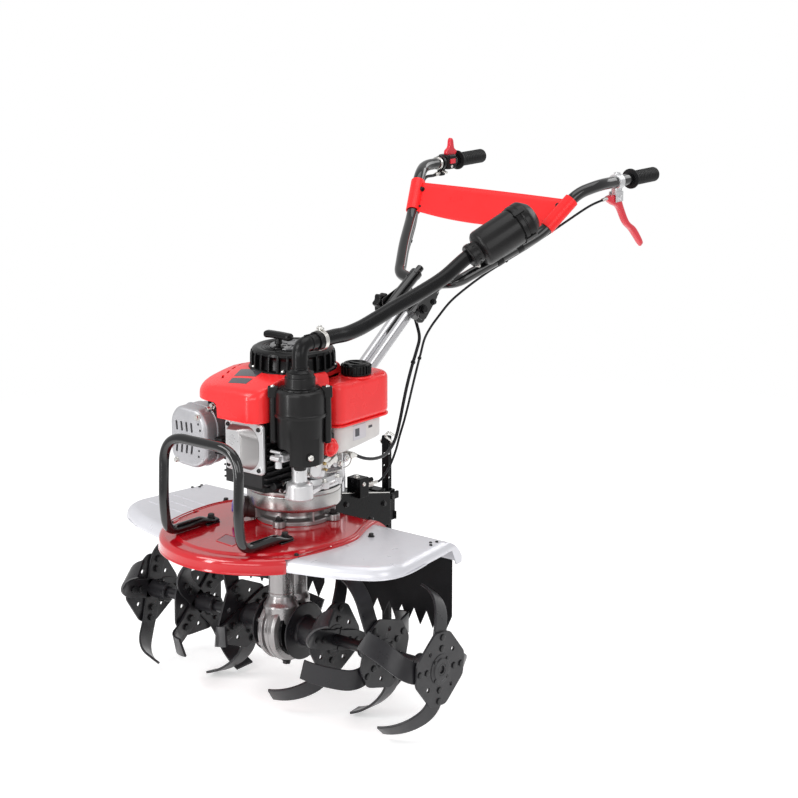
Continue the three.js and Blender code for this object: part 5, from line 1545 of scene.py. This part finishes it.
class TILLER_OT_column(bpy.types.Operator):
    """Twin bright tubes that carry the handlebar's hinge"""

    bl_idname = "tiller.column"
    bl_label = "Handle column"

    def execute(self, context):
        rise = (757 - 11 - 576) / (379 - 152)
        path = even(fillet(arr((12, 152, 388), (12, 152, 576), (12, 375, 576 + 223 * rise)), 62, 12), 90)
        tubes = both(tube(path, 11, 40))
        hinge = [closed_ring(turned([(5.4, -23), (14, -23), (15, -22), (15, 22), (14, 23), (5.4, 23)],
                                    (0, 379, 757), (1, 0, 0), 48), 48)]
        tie = [rod((-12, 152, 430), (12, 152, 430), 6, 24)]
        gusset = laid(slab(fillet(arr((330, 702), (372, 738), (372, 752), (318, 712)), 5, 3, True),
                           -1.6, 1.6, 0.6, 2),
                      (0, 1, 0), (0, 0, 1))
        collars = []
        for s in (1, -1):
            collars.append(closed_ring(turned([(11.2, 386), (14.6, 386), (14.6, 398), (11.2, 399)],
                                              (s * 12, 152, 0), seg=40, edge=0.4), 40))
        piece("column_tubes",
              [(tubes, look["tube_silver"]), (hinge + tie + [gusset] + collars, look["black_enamel"])],
              "root", ["handle_column"])
        return {"FINISHED"}


# ---------------------------------------------------------------- handlebar
def arm_z(y):
    """Height of the arm's centre line: hinge height plus distance times the tangent of 33 degrees."""
    return 757 + (y - 379) * np.tan(np.radians(33))


PANEL_LOW, PANEL_HIGH = arr((182, 634, 910), (207, 683, 963))


class TILLER_OT_bars(bpy.types.Operator):
    """Black handlebar tubes on their pivoting arms, with rubber grips"""

    bl_idname = "tiller.bars"
    bl_label = "Handlebars"

    def execute(self, context):
        way = unit(PANEL_HIGH - PANEL_LOW)
        route = np.vstack([(36, 446, arm_z(446)), (78, 458, 806), (130, 539, 853), PANEL_LOW - way * 16,
                           PANEL_HIGH + way * 22, (238, 745, 993), (238, 943.6, 993)])
        bar = tube(even(fillet(route, (0, 26, 32, 26, 24, 40, 0), 12), 220), 12.5, 36)
        sleeve = rod((36, 360, arm_z(360)), (36, 462, arm_z(462)), 12.5, 36, 1.2)
        tip = rod((36, 458, arm_z(458)), (36, 478, arm_z(478)), 8, 28, 2)
        cap = rod((36, 455, arm_z(455)), (36, 464, arm_z(464)), 13.4, 36, 1.5)
        web = laid(slab(fillet(arr((366, 765), (374, 727), (392, 724), (448, 780), (440, 800)), 6, 4, True),
                        33.2, 38.8, 1, 2), (0, 1, 0), (0, 0, 1))
        outer = laid(slab(fillet(arr((360, 768), (372, 735), (388, 733), (430, 776), (424, 790)),
                                 6, 4, True), 46.6,
                          48.6,
                          0.6, 2), (0, 1, 0), (0, 0, 1))
        bore = rod((20, 379, 757), (60, 379, 757), 5.4, 28, 0)
        parts = [bar, carved(sleeve, [bore]), tip, cap, carved(web, [bore]), carved(outer, [bore])]
        weld = ring((40, 447.5, arm_z(446) + 0.5), (42, 12, 5.5), 12.9,
                    context.scene.tiller_sizes.weld_bead / MM, 36)
        bolts = bolt((49, 414, 767), (1, 0, 0), 9, 4)
        groove = context.scene.tiller_sizes.grip_groove / MM
        ridged = [(12.9, 864.3), (21.4, 864.3), (22, 865.4), (22, 868), (20.6, 870), (16.4, 871.5), (16, 873)]
        for k in range(13):
            y = 878 + 6.2 * k
            ridged += [(16, y), (16 - groove, y + 1.1), (16 - groove, y + 1.9), (16, y + 3)]
        ridged += [(16, 956.4), (15.4, 958.6), (13.4, 960.2), (11, 960.8), (0, 960.8)]
        ridged = [(0, 864.4)] + ridged
        rubber_grip = turned([(r, y) for r, y in ridged], (238, 0, 993), (0, 1, 0), 64)
        rubber_grip = carved(rubber_grip, [rod((238, 850, 993), (238, 943, 993), 12.8, 40, 0)])
        for side, s in (("left", 1), ("right", -1)):
            tubes, rings, heads, grip = parts, [weld], bolts, rubber_grip
            if s < 0:
                tubes, rings = [mirrored(p) for p in tubes], [mirrored(weld)]
                heads, grip = [mirrored(p) for p in heads], mirrored(grip)
            piece(f"bar_{side}", [(tubes + rings, look["black_enamel"]), (heads, look["bolt_black"])],
                  "handlebar", [f"handlebar_{side}"])
            piece(f"hand_grip_{side}", [([grip], look["grip_rubber"])], "handlebar",
                  [f"grip_{side}"])
        return {"FINISHED"}


class TILLER_OT_panel(bpy.types.Operator):
    """Red cross panel wrapped round both bars"""

    bl_idname = "tiller.panel"
    bl_label = "Cross panel"

    def execute(self, context):
        way = PANEL_HIGH[1:] - PANEL_LOW[1:]
        tall = np.linalg.norm(way)
        way = way / tall
        u = np.linspace(-1, 1, 61)[:, None]
        v = np.linspace(0, 1, 15)[None, :]
        sag = 15 * (1 - u**2) * (1 - v)
        crown = 1.5 * (1 - u**2) * v
        h = v * tall - sag + crown
        x = u * (182 + 25 * v)
        bulge = 1.6 * (1 - u**4) * np.sin(np.pi * v)
        normal = arr((-way[1], way[0]))[0]
        rolled = -2.6 * (np.clip((v - 0.93) / 0.07, 0, 1) + np.clip((0.07 - v) / 0.07, 0, 1))
        sheet = np.stack([x + 0 * h, 634 + way[0] * h - normal[0] * (bulge + rolled), 910 + way[1] * h
                          - normal[1] * (bulge + rolled)], axis=-1)
        back = sheet + (0, normal[0] * 2.2, normal[1] * 2.2)
        skin = [lofted(np.concatenate([sheet, back[:, ::-1]], axis=1))]
        sleeves, bolts = [], []
        for s in (1, -1):
            flip = arr((s, 1, 1))[0]
            a, b = PANEL_LOW * flip, PANEL_HIGH * flip
            axis = b - a
            shell = closed_ring(turned([(13.7, -1.5), (15.9, -1.5), (15.9, tall * 1.045 + 5.5),
                                        (13.7, tall * 1.045 + 5.5)],
                                       a, axis, 48, 0.7), 48)
            sleeves.append(shell)
            at = np.array((s * (207 - 22), 683 - way[0] * 17, 963 - way[1] * 17))
            out = np.array((0, -normal[0], -normal[1]))
            out = out if out[1] < 0 else -out
            bolts += bolt(at + out * 2.2, out, 9, 4.5)
            at = np.array((s * (182 - 14), 634 + way[0] * 12, 910 + way[1] * 12))
            bolts += screw(at + out * 2.0, out, 3.2, 2)
        piece("panel_sheet", [(skin + sleeves, look["panel_red"]), (bolts, look["bolt_black"])], "handlebar",
              ["cross_panel"], angle=50)
        return {"FINISHED"}


class TILLER_OT_controls(bpy.types.Operator):
    """Height knob, clutch lever and throttle switch"""

    bl_idname = "tiller.controls"
    bl_label = "Controls"

    def execute(self, context):
        a = np.linspace(0, TURN, 96, endpoint=False)
        lobes = (18.6 + 2.6 * np.cos(6 * a))[:, None] * np.c_[np.cos(a), np.sin(a)]
        knob = [laid(slab(lobes, 0, 19, 4.5, 5), (0, 1, 0), (0, 0, 1), (-73.6, 379, 757))]
        knob.append(turned([(0, 0), (12, 0), (11, 2.4), (5, 3), (0, 3)], (-73.5, 379, 757),
                           (-1, 0, 0), 40, 0.5))
        knob.append(rod((-56, 379, 757), (-48.8, 379, 757), 10, 32, 1))
        zinc = [rod((-60, 379, 757), (52.4, 379, 757), 4.9, 24, 0.6)]
        knob += bolt((48.8, 379, 757), (1, 0, 0), 14, 6)
        piece("height_knob", [(knob, look["black_plastic"]), (zinc, look["zinc"])],
              "handlebar", ["column_knob"])

        x, y, z = 238, 813, 993
        clamp = [closed_ring(turned([(12.8, -9), (16.8, -9), (16.8, 9), (12.8, 9)], (x, y, z),
                                    (0, 1, 0), 48, 1), 48),
                 brick(x - 8, x + 8, y - 12, y + 12, 951, 981, 2.5),
                 brick(x - 6, x + 6, y - 6, y + 6, 1008, 1013, 1.5),
                 brick(x + 8, x + 9.6, y - 16, y + 12, 950, 972, 0.6),
                 brick(x - 9.6, x - 8, y - 16, y + 12, 950, 972, 0.6)]
        zinc = bolt((x + 9.6, y - 2, 959), (1, 0, 0), 10, 4) + bolt((x - 9.6, y - 2, 959), (-1, 0, 0), 10, 4)
        zinc += screw((x + 8, y + 2, 977), (1, 0, 0), 3.6) + clamp
        zinc.append(rod((x, y - 41, 960.5), (x, y - 24, 960.5), 4.6, 24, 0.8))
        zinc.append(coil((x, y - 24, 960.5), (x, y - 12, 961), 4, 0.9, 5))
        top = arr((772, 965), (795, 967), (821, 959), (834, 937), (857, 902), (885, 884), (919, 846))
        low = arr((773, 956), (791, 946), (813, 936), (843, 897), (867, 880), (880, 868), (909, 839))
        top, low = flowing(top, 40), flowing(low, 40)
        half = 6.6 * np.ones(40)
        half[-3:] = (6.4, 5.6, 3.6)
        half[:3] = (3.6, 5.6, 6.4)
        angle = np.linspace(0, TURN, 24, endpoint=False)
        c, s = np.cos(angle), np.sin(angle)
        c, s = np.sign(c) * np.abs(c) ** 0.55, np.sign(s) * np.abs(s) ** 0.55
        mid, reach = (top + low) / 2, (top - low) / 2
        rings = np.stack([x + half[:, None] * c, mid[:, :1] + reach[:, :1] * s,
                          mid[:, 1:] + reach[:, 1:] * s], axis=-1)
        lever = [lofted(rings)]
        piece("clutch_handle", [(lever, look["lever_red"]), (zinc, look["bright_casting"])],
              "handlebar", ["clutch_lever"])

        x = -238
        body = slab(rectangle(x - 16, x + 16, 813, 846, 8, 6), 977, 1010, 4, 4)
        body = combined(body, (rod((x, 800, z), (x, 860, z), 12.8, 40, 0), "DIFFERENCE"))
        black = [body, closed_ring(turned([(12.8, 800), (16.4, 800), (16.4, 808), (12.8, 808)],
                                          (x, 0, z), (0, 1, 0), 40,
                                          0.8), 40)]
        black.append(brick(x - 6, x + 6, 798.4, 816, 963.5, 980, 2))
        black.append(brick(x - 12, x + 12, 848, 852, 985, 1001, 1))
        red = [laid(slab(fillet(arr((822, 1008), (856, 1007), (861, 1016), (850, 1022),
                                    (846.5, 1042), (841, 1047.4), (836, 1042), (834, 1025), (822, 1019)), 5,
                                4, True), x - 5, x + 5, 2, 3),
                    (0, 1, 0), (0, 0, 1))]
        red.append(turned([(0, 0), (7, 0), (7, 4), (5, 6), (0, 6)], (x - 16, 830, 996), (-1, 0, 0), 28, 0.6))
        red.append(brick(x + 14, x + 18.4, 820, 838, 990, 1001, 1.4))
        zinc = screw((x + 16, 826, 984), (1, 0, 0), 3.4) + screw((x - 16, 838, 984), (-1, 0, 0), 3.4)
        zinc += [rod((x, 797.6, 970), (x, 806, 970), 4.4, 24, 0.6),
                 rod((x + 8, 803, 975), (x + 20, 803, 972), 3, 20, 0.6)]
        zinc.append(closed_ring(turned([(12.8, 790), (15, 790), (15, 796), (12.8, 796)], (x, 0, z),
                                       (0, 1, 0), 40, 0.5),
                                40))
        piece("throttle_block",
              [(black, look["black_plastic"]), (red, look["lever_red"]), (zinc, look["zinc"])], "handlebar",
              ["throttle_switch"])
        return {"FINISHED"}


# ---------------------------------------------------------------- air filter, hose and cables
FOOT, HEAD = arr((123, 469, 876), (177, 569, 938))


class TILLER_OT_filter(bpy.types.Operator):
    """Air filter canister strapped to the left bar"""

    bl_idname = "tiller.filter"
    bl_label = "Air filter"

    def execute(self, context):
        way = unit(HEAD - FOOT)
        n = np.linalg.norm(HEAD - FOOT)
        black = [turned([(0, -24), (22.6, -24), (24, -22.6), (24, -18), (23, -16), (23, -5),
                         (24, -3), (24.4, 0), (28, 1.4),
                         (34.6, 3.4), (38.6, 7), (40, 12), (40.2, 40), (40.2, n - 35), (39.2, n - 33.4),
                         (39.2, n - 31.6),
                         (42.2, n - 31), (43, n - 29.6), (43, n - 22), (41.8, n - 20.6), (41.8, n - 18.6),
                         (43, n - 17.4),
                         (43, n - 8), (42, n - 4.4), (39, n - 0.4), (35, n + 4), (31, n + 8),
                         (27.6, n + 11.4), (24, n + 13.2), (12, n + 13.9), (0, n + 14)], FOOT, way, 112)]
        u, v, _ = axes_of(way)
        for k in range(4):
            a = np.radians(40 + 90 * k)
            out = np.cos(a) * u + np.sin(a) * v
            side = np.cross(way, out)
            clip = slab(rectangle(-5, 5, -13, 13, 2.5, 3), 0, 3, 1, 2)
            black.append(laid(clip, side, way, FOOT + way * (n - 21) + out * 42))
        for k in range(12):
            a = TURN * k / 12
            out = np.cos(a) * u + np.sin(a) * v
            side = np.cross(way, out)
            black.append(laid(slab(rectangle(-1.4, 1.4, -5, 5, 0.8, 2), 0, 1.6, 0.5, 1), side, way,
                              FOOT + way * (-10.5) + out * 22.8))
        saddles = []
        bar_a, bar_b = arr((130, 539, 853), (182, 634, 910))
        run = unit(bar_b - bar_a)
        for h, t in ((30, -6), (78, 46)):
            tube_at = bar_a + run * t
            body_at = FOOT + way * h
            across = unit(tube_at - body_at)
            gap = np.linalg.norm(tube_at - body_at)
            saddle = slab(rectangle(-7, 7, 38, max(42, gap - 8), 2, 3), -4, 4, 1.5, 2)
            saddles.append(laid(saddle, np.cross(across, run), across, body_at))
            saddles.append(closed_ring(turned([(12.6, -7), (15, -7), (15, 7), (12.6, 7)], tube_at,
                                              run, 40, 0.6), 40))
        zinc = []
        band = closed_ring(turned([(24, -20), (25.4, -20), (25.4, -12), (24, -12)], FOOT, way, 72, 0.4), 72)
        lug_at = FOOT + way * -16 + unit(np.cross(way, (1, 0, 0.3))) * 26
        black.append(band)
        zinc.append(rod(lug_at - (5, 0, 0), lug_at + np.array((7, 0, 0)), 3.4, 20, 0.6))
        piece("filter_body", [(black, look["canister_plastic"]), (saddles, look["black_plastic"]),
                              (zinc, look["zinc"])], "handlebar", ["filter_canister"])
        return {"FINISHED"}


HOSE = ((106, -5.7, 766), (106, 30, 766), (106, 60, 765), (107, 105, 770), (107, 152, 780), (108, 200, 792),
        (109, 297, 813), (110, 372, 833), (112.3, 448.9, 865.4), (123, 469, 876))
THROTTLE = ((-238, 797.2, 970), (-237, 780, 967), (-233, 745, 967), (-213, 706, 953), (-192, 664, 913),
            (-176, 633, 880), (-131, 551, 834), (-90, 486, 796), (-55, 452, 772),
            (-20, 425, 744), (14, 402, 716), (29, 392, 690), (30, 380, 663), (31, 366, 638), (34, 345, 599),
            (37, 327, 559), (40, 313, 528), (47, 288, 493), (62, 241, 476), (78, 186, 480),
            (87, 140, 492), (89, 100, 510))
CLUTCH = ((238, 771.3, 960.5), (237, 754, 958), (225, 732, 949), (190, 671, 910),
          (150, 618, 869), (115, 577, 838), (90, 540, 813), (70, 496, 785), (57, 462, 761), (50, 431, 734),
          (45, 408, 711), (42, 393, 690), (39, 384, 660), (37, 374, 630), (38, 358, 594), (42, 338, 557),
          (46, 320, 528), (49, 302, 501), (50, 286, 469), (48, 266, 437), (42, 245, 414), (38, 225, 411.5))


class TILLER_OT_lines(bpy.types.Operator):
    """Air hose and the two control cables"""

    bl_idname = "tiller.lines"
    bl_label = "Hose and cables"

    def execute(self, context):
        for name, node, route, r, finish, slot, start, end in (
            ("air_hose", "intake_hose", HOSE, 15, "hose_rubber", "hose_rubber", (106, 60, 765),
             (110, 372, 833)),
            ("throttle_line", "throttle_cable", THROTTLE, 3.4, "sheath", "cable_sheath", (62, 241, 476),
             (29, 392, 690)),
            ("clutch_line", "clutch_cable", CLUTCH, 2.5, "sheath", "cable_sheath", (42, 245, 414),
             (42, 393, 690)),
        ):
            line = flowing(route, 160)
            groups = [([tube(line, r, 28)], look[finish])]
            if r < 5:
                ties = []
                half = context.scene.tiller_sizes.tie_length / MM / 2
                for k in (0.27, 0.62):
                    i = int(k * 159)
                    way = unit(line[i + 1] - line[i])
                    ties.append(rod(line[i] - way * half, line[i] + way * half, r + 1.5, 20, 0.6))
                ends = [rod(line[0], line[0] + unit(line[2] - line[0]) * 14, r + 1.4, 24, 0.6),
                        rod(line[-1], line[-1] + unit(line[-3] - line[-1]) * 12, r + 1.4, 24, 0.6)]
                groups += [(ties, look["rubber"]), (ends, look["zinc"])]
            else:
                half = context.scene.tiller_sizes.hose_clip / MM / 2
                zinc = [closed_ring(turned([(19.2, -half), (20.4, -half), (20.4, half), (19.2, half)],
                                           (106, -14, 766), (0, 1, 0), 72, 0.4), 72)]
                zinc += [rod((106, -14, 785.5), (106, -14, 795), 3.4, 20, 0.6),
                         rod((98, -14, 789), (114, -14, 789), 3, 20, 0.6)]
                groups.append((zinc, look["zinc"]))
            thing = piece(name, groups, None, [node])
            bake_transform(thing)
        return {"FINISHED"}


# ---------------------------------------------------------------- stage
class StageSettings(bpy.types.PropertyGroup):
    """Light and floor of the stage"""

    floor_colour: bpy.props.FloatVectorProperty(
        name="Floor colour", description="Colour of the floor", subtype="COLOR", size=3, min=0, max=1,
        default=(0.86, 0.86, 0.86))
    key_power: bpy.props.FloatProperty(
        name="Key lamp", description="Power of the large lamp in front", unit="POWER", default=62.0, min=0)
    surround: bpy.props.FloatProperty(
        name="Surround", description="Brightness of the surround on dull surfaces",
        subtype="FACTOR", default=0.6, min=0)
    reflected: bpy.props.FloatProperty(
        name="Reflected surround", description="Brightness of the surround in shiny surfaces",
        subtype="FACTOR", default=0.6, min=0)


def area_lamp(name, power, size, place, aim):
    """A rectangular lamp at a place, turned to face a point."""
    lamp = bpy.data.lights.new(name, "AREA")
    lamp.energy, lamp.shape, lamp.size, lamp.size_y = power, "RECTANGLE", size[0], size[1]
    thing = bpy.data.objects.new(name, lamp)
    bpy.context.scene.collection.objects.link(thing)
    turn = (Vector(aim) - Vector(place)).to_track_quat("-Z", "Y")
    thing.matrix_world = Matrix.Translation(Vector(place)) @ turn.to_matrix().to_4x4()


class TILLER_OT_stage(bpy.types.Operator):
    """Camera, floor, soft studio lamps and a white surround"""

    bl_idname = "tiller.stage"
    bl_label = "Stage"

    def execute(self, context):
        settings = context.scene.tiller_stage
        data = bpy.data.cameras.new("view")
        camera = bpy.data.objects.new("view", data)
        context.scene.collection.objects.link(camera)
        data.sensor_width, data.lens = 36.0, 101.62
        turn = Vector((-0.6105, 0.7547, -0.2402)).to_track_quat("-Z", "Y")
        camera.matrix_world = Matrix.Translation((2.911, -3.579, 1.705)) @ turn.to_matrix().to_4x4()
        context.scene.camera = camera

        mesh = bpy.data.meshes.new("floor")
        mesh.from_pydata([(-30, -30, 0), (30, -30, 0), (30, 30, 0), (-30, 30, 0)], [], [(0, 1, 2, 3)])
        floor = bpy.data.objects.new("floor", mesh)
        context.scene.collection.objects.link(floor)
        pale = Finish("floor")
        away = pale.node("ShaderNodeVectorMath", {"operation": "LENGTH"}, {0: pale.place}, out=1)
        fade = pale.ramp(away, 1.1, 2.6, 1.0, 0.0)
        pale.done(colour=tuple(settings.floor_colour) + (1.0,), rough=0.9, alpha=fade)
        pale.surface.inputs["Emission Color"].default_value = (1, 1, 1, 1)
        pale.surface.inputs["Emission Strength"].default_value = 0.42
        mesh.materials.append(pale.material)

        area_lamp("key", settings.key_power, (2.4, 1.6), (-1.2, -3.0, 3.4), (0, 0, 0.5))
        area_lamp("front", 24, (2.6, 1.0), (1.2, -3.6, 1.1), (0, 0, 0.5))
        area_lamp("fill", 26, (1.6, 2.4), (3.6, -1.2, 1.9), (0, 0, 0.5))
        area_lamp("top", 34, (2.6, 2.6), (0.3, 0.4, 4.0), (0, 0, 0.4))
        area_lamp("strip", 26, (0.4, 1.9), (-0.75, -3.1, 0.95), (0, 0, 0.5))
        area_lamp("back", 22, (2.0, 1.4), (0.8, 3.4, 2.4), (0, 0, 0.6))

        world = bpy.data.worlds.new("surround")
        world.use_nodes = True
        context.scene.world = world
        tree = world.node_tree
        back = tree.nodes["Background"]
        seen = tree.nodes.new("ShaderNodeLightPath")
        shiny = tree.nodes.new("ShaderNodeMapRange")
        tree.links.new(seen.outputs["Is Glossy Ray"], shiny.inputs[0])
        shiny.inputs[3].default_value = settings.surround
        shiny.inputs[4].default_value = settings.reflected
        mixer = tree.nodes.new("ShaderNodeMapRange")
        tree.links.new(seen.outputs["Is Camera Ray"], mixer.inputs[0])
        tree.links.new(shiny.outputs[0], mixer.inputs[3])
        mixer.inputs[4].default_value = 1.0
        tree.links.new(mixer.outputs[0], back.inputs["Strength"])
        back.inputs["Color"].default_value = (1, 1, 1, 1)
        context.scene.view_settings.view_transform = "Standard"
        return {"FINISHED"}


class TILLER_PT_sidebar(bpy.types.Panel):
    """Buttons for each group of pieces"""

    bl_label = "Rotary tiller"
    bl_idname = "TILLER_PT_sidebar"
    bl_space_type = "VIEW_3D"
    bl_region_type = "UI"
    bl_category = "Tiller"

    def draw(self, context):
        for step in STEPS:
            self.layout.operator(step.bl_idname)
        for name, group in SETTINGS.items():
            box = self.layout.box()
            for key in group.__annotations__:
                box.prop(getattr(context.scene, name), key)


STEPS = (
    TILLER_OT_stage, TILLER_OT_rotor, TILLER_OT_gearbox, TILLER_OT_deck, TILLER_OT_shroud, TILLER_OT_starter,
    TILLER_OT_exhaust, TILLER_OT_cylinder, TILLER_OT_intake, TILLER_OT_carburettor, TILLER_OT_tank,
    TILLER_OT_clutch, TILLER_OT_bumper, TILLER_OT_bracket, TILLER_OT_column, TILLER_OT_bars, TILLER_OT_panel,
    TILLER_OT_controls, TILLER_OT_filter, TILLER_OT_lines,
)
SETTINGS = {"tiller_stage": StageSettings, "tiller_colours": ColourSettings, "tiller_sizes": SizeSettings}
CLASSES = tuple(SETTINGS.values()) + STEPS + (TILLER_PT_sidebar,)


def register():
    """Add the settings, the operators and the panel."""
    for cls in CLASSES:
        bpy.utils.register_class(cls)
    for name, group in SETTINGS.items():
        setattr(bpy.types.Scene, name, bpy.props.PointerProperty(type=group))


def unregister():
    """Take the settings, the operators and the panel away again."""
    for name in SETTINGS:
        delattr(bpy.types.Scene, name)
    for cls in reversed(CLASSES):
        bpy.utils.unregister_class(cls)


def main():
    """Add the settings and the finishes, then run every operator in its order."""
    register()
    make_finishes()
    for step in STEPS:
        group, name = step.bl_idname.split(".")
        getattr(getattr(bpy.ops, group), name)()


if __name__ == "__main__":
    main()
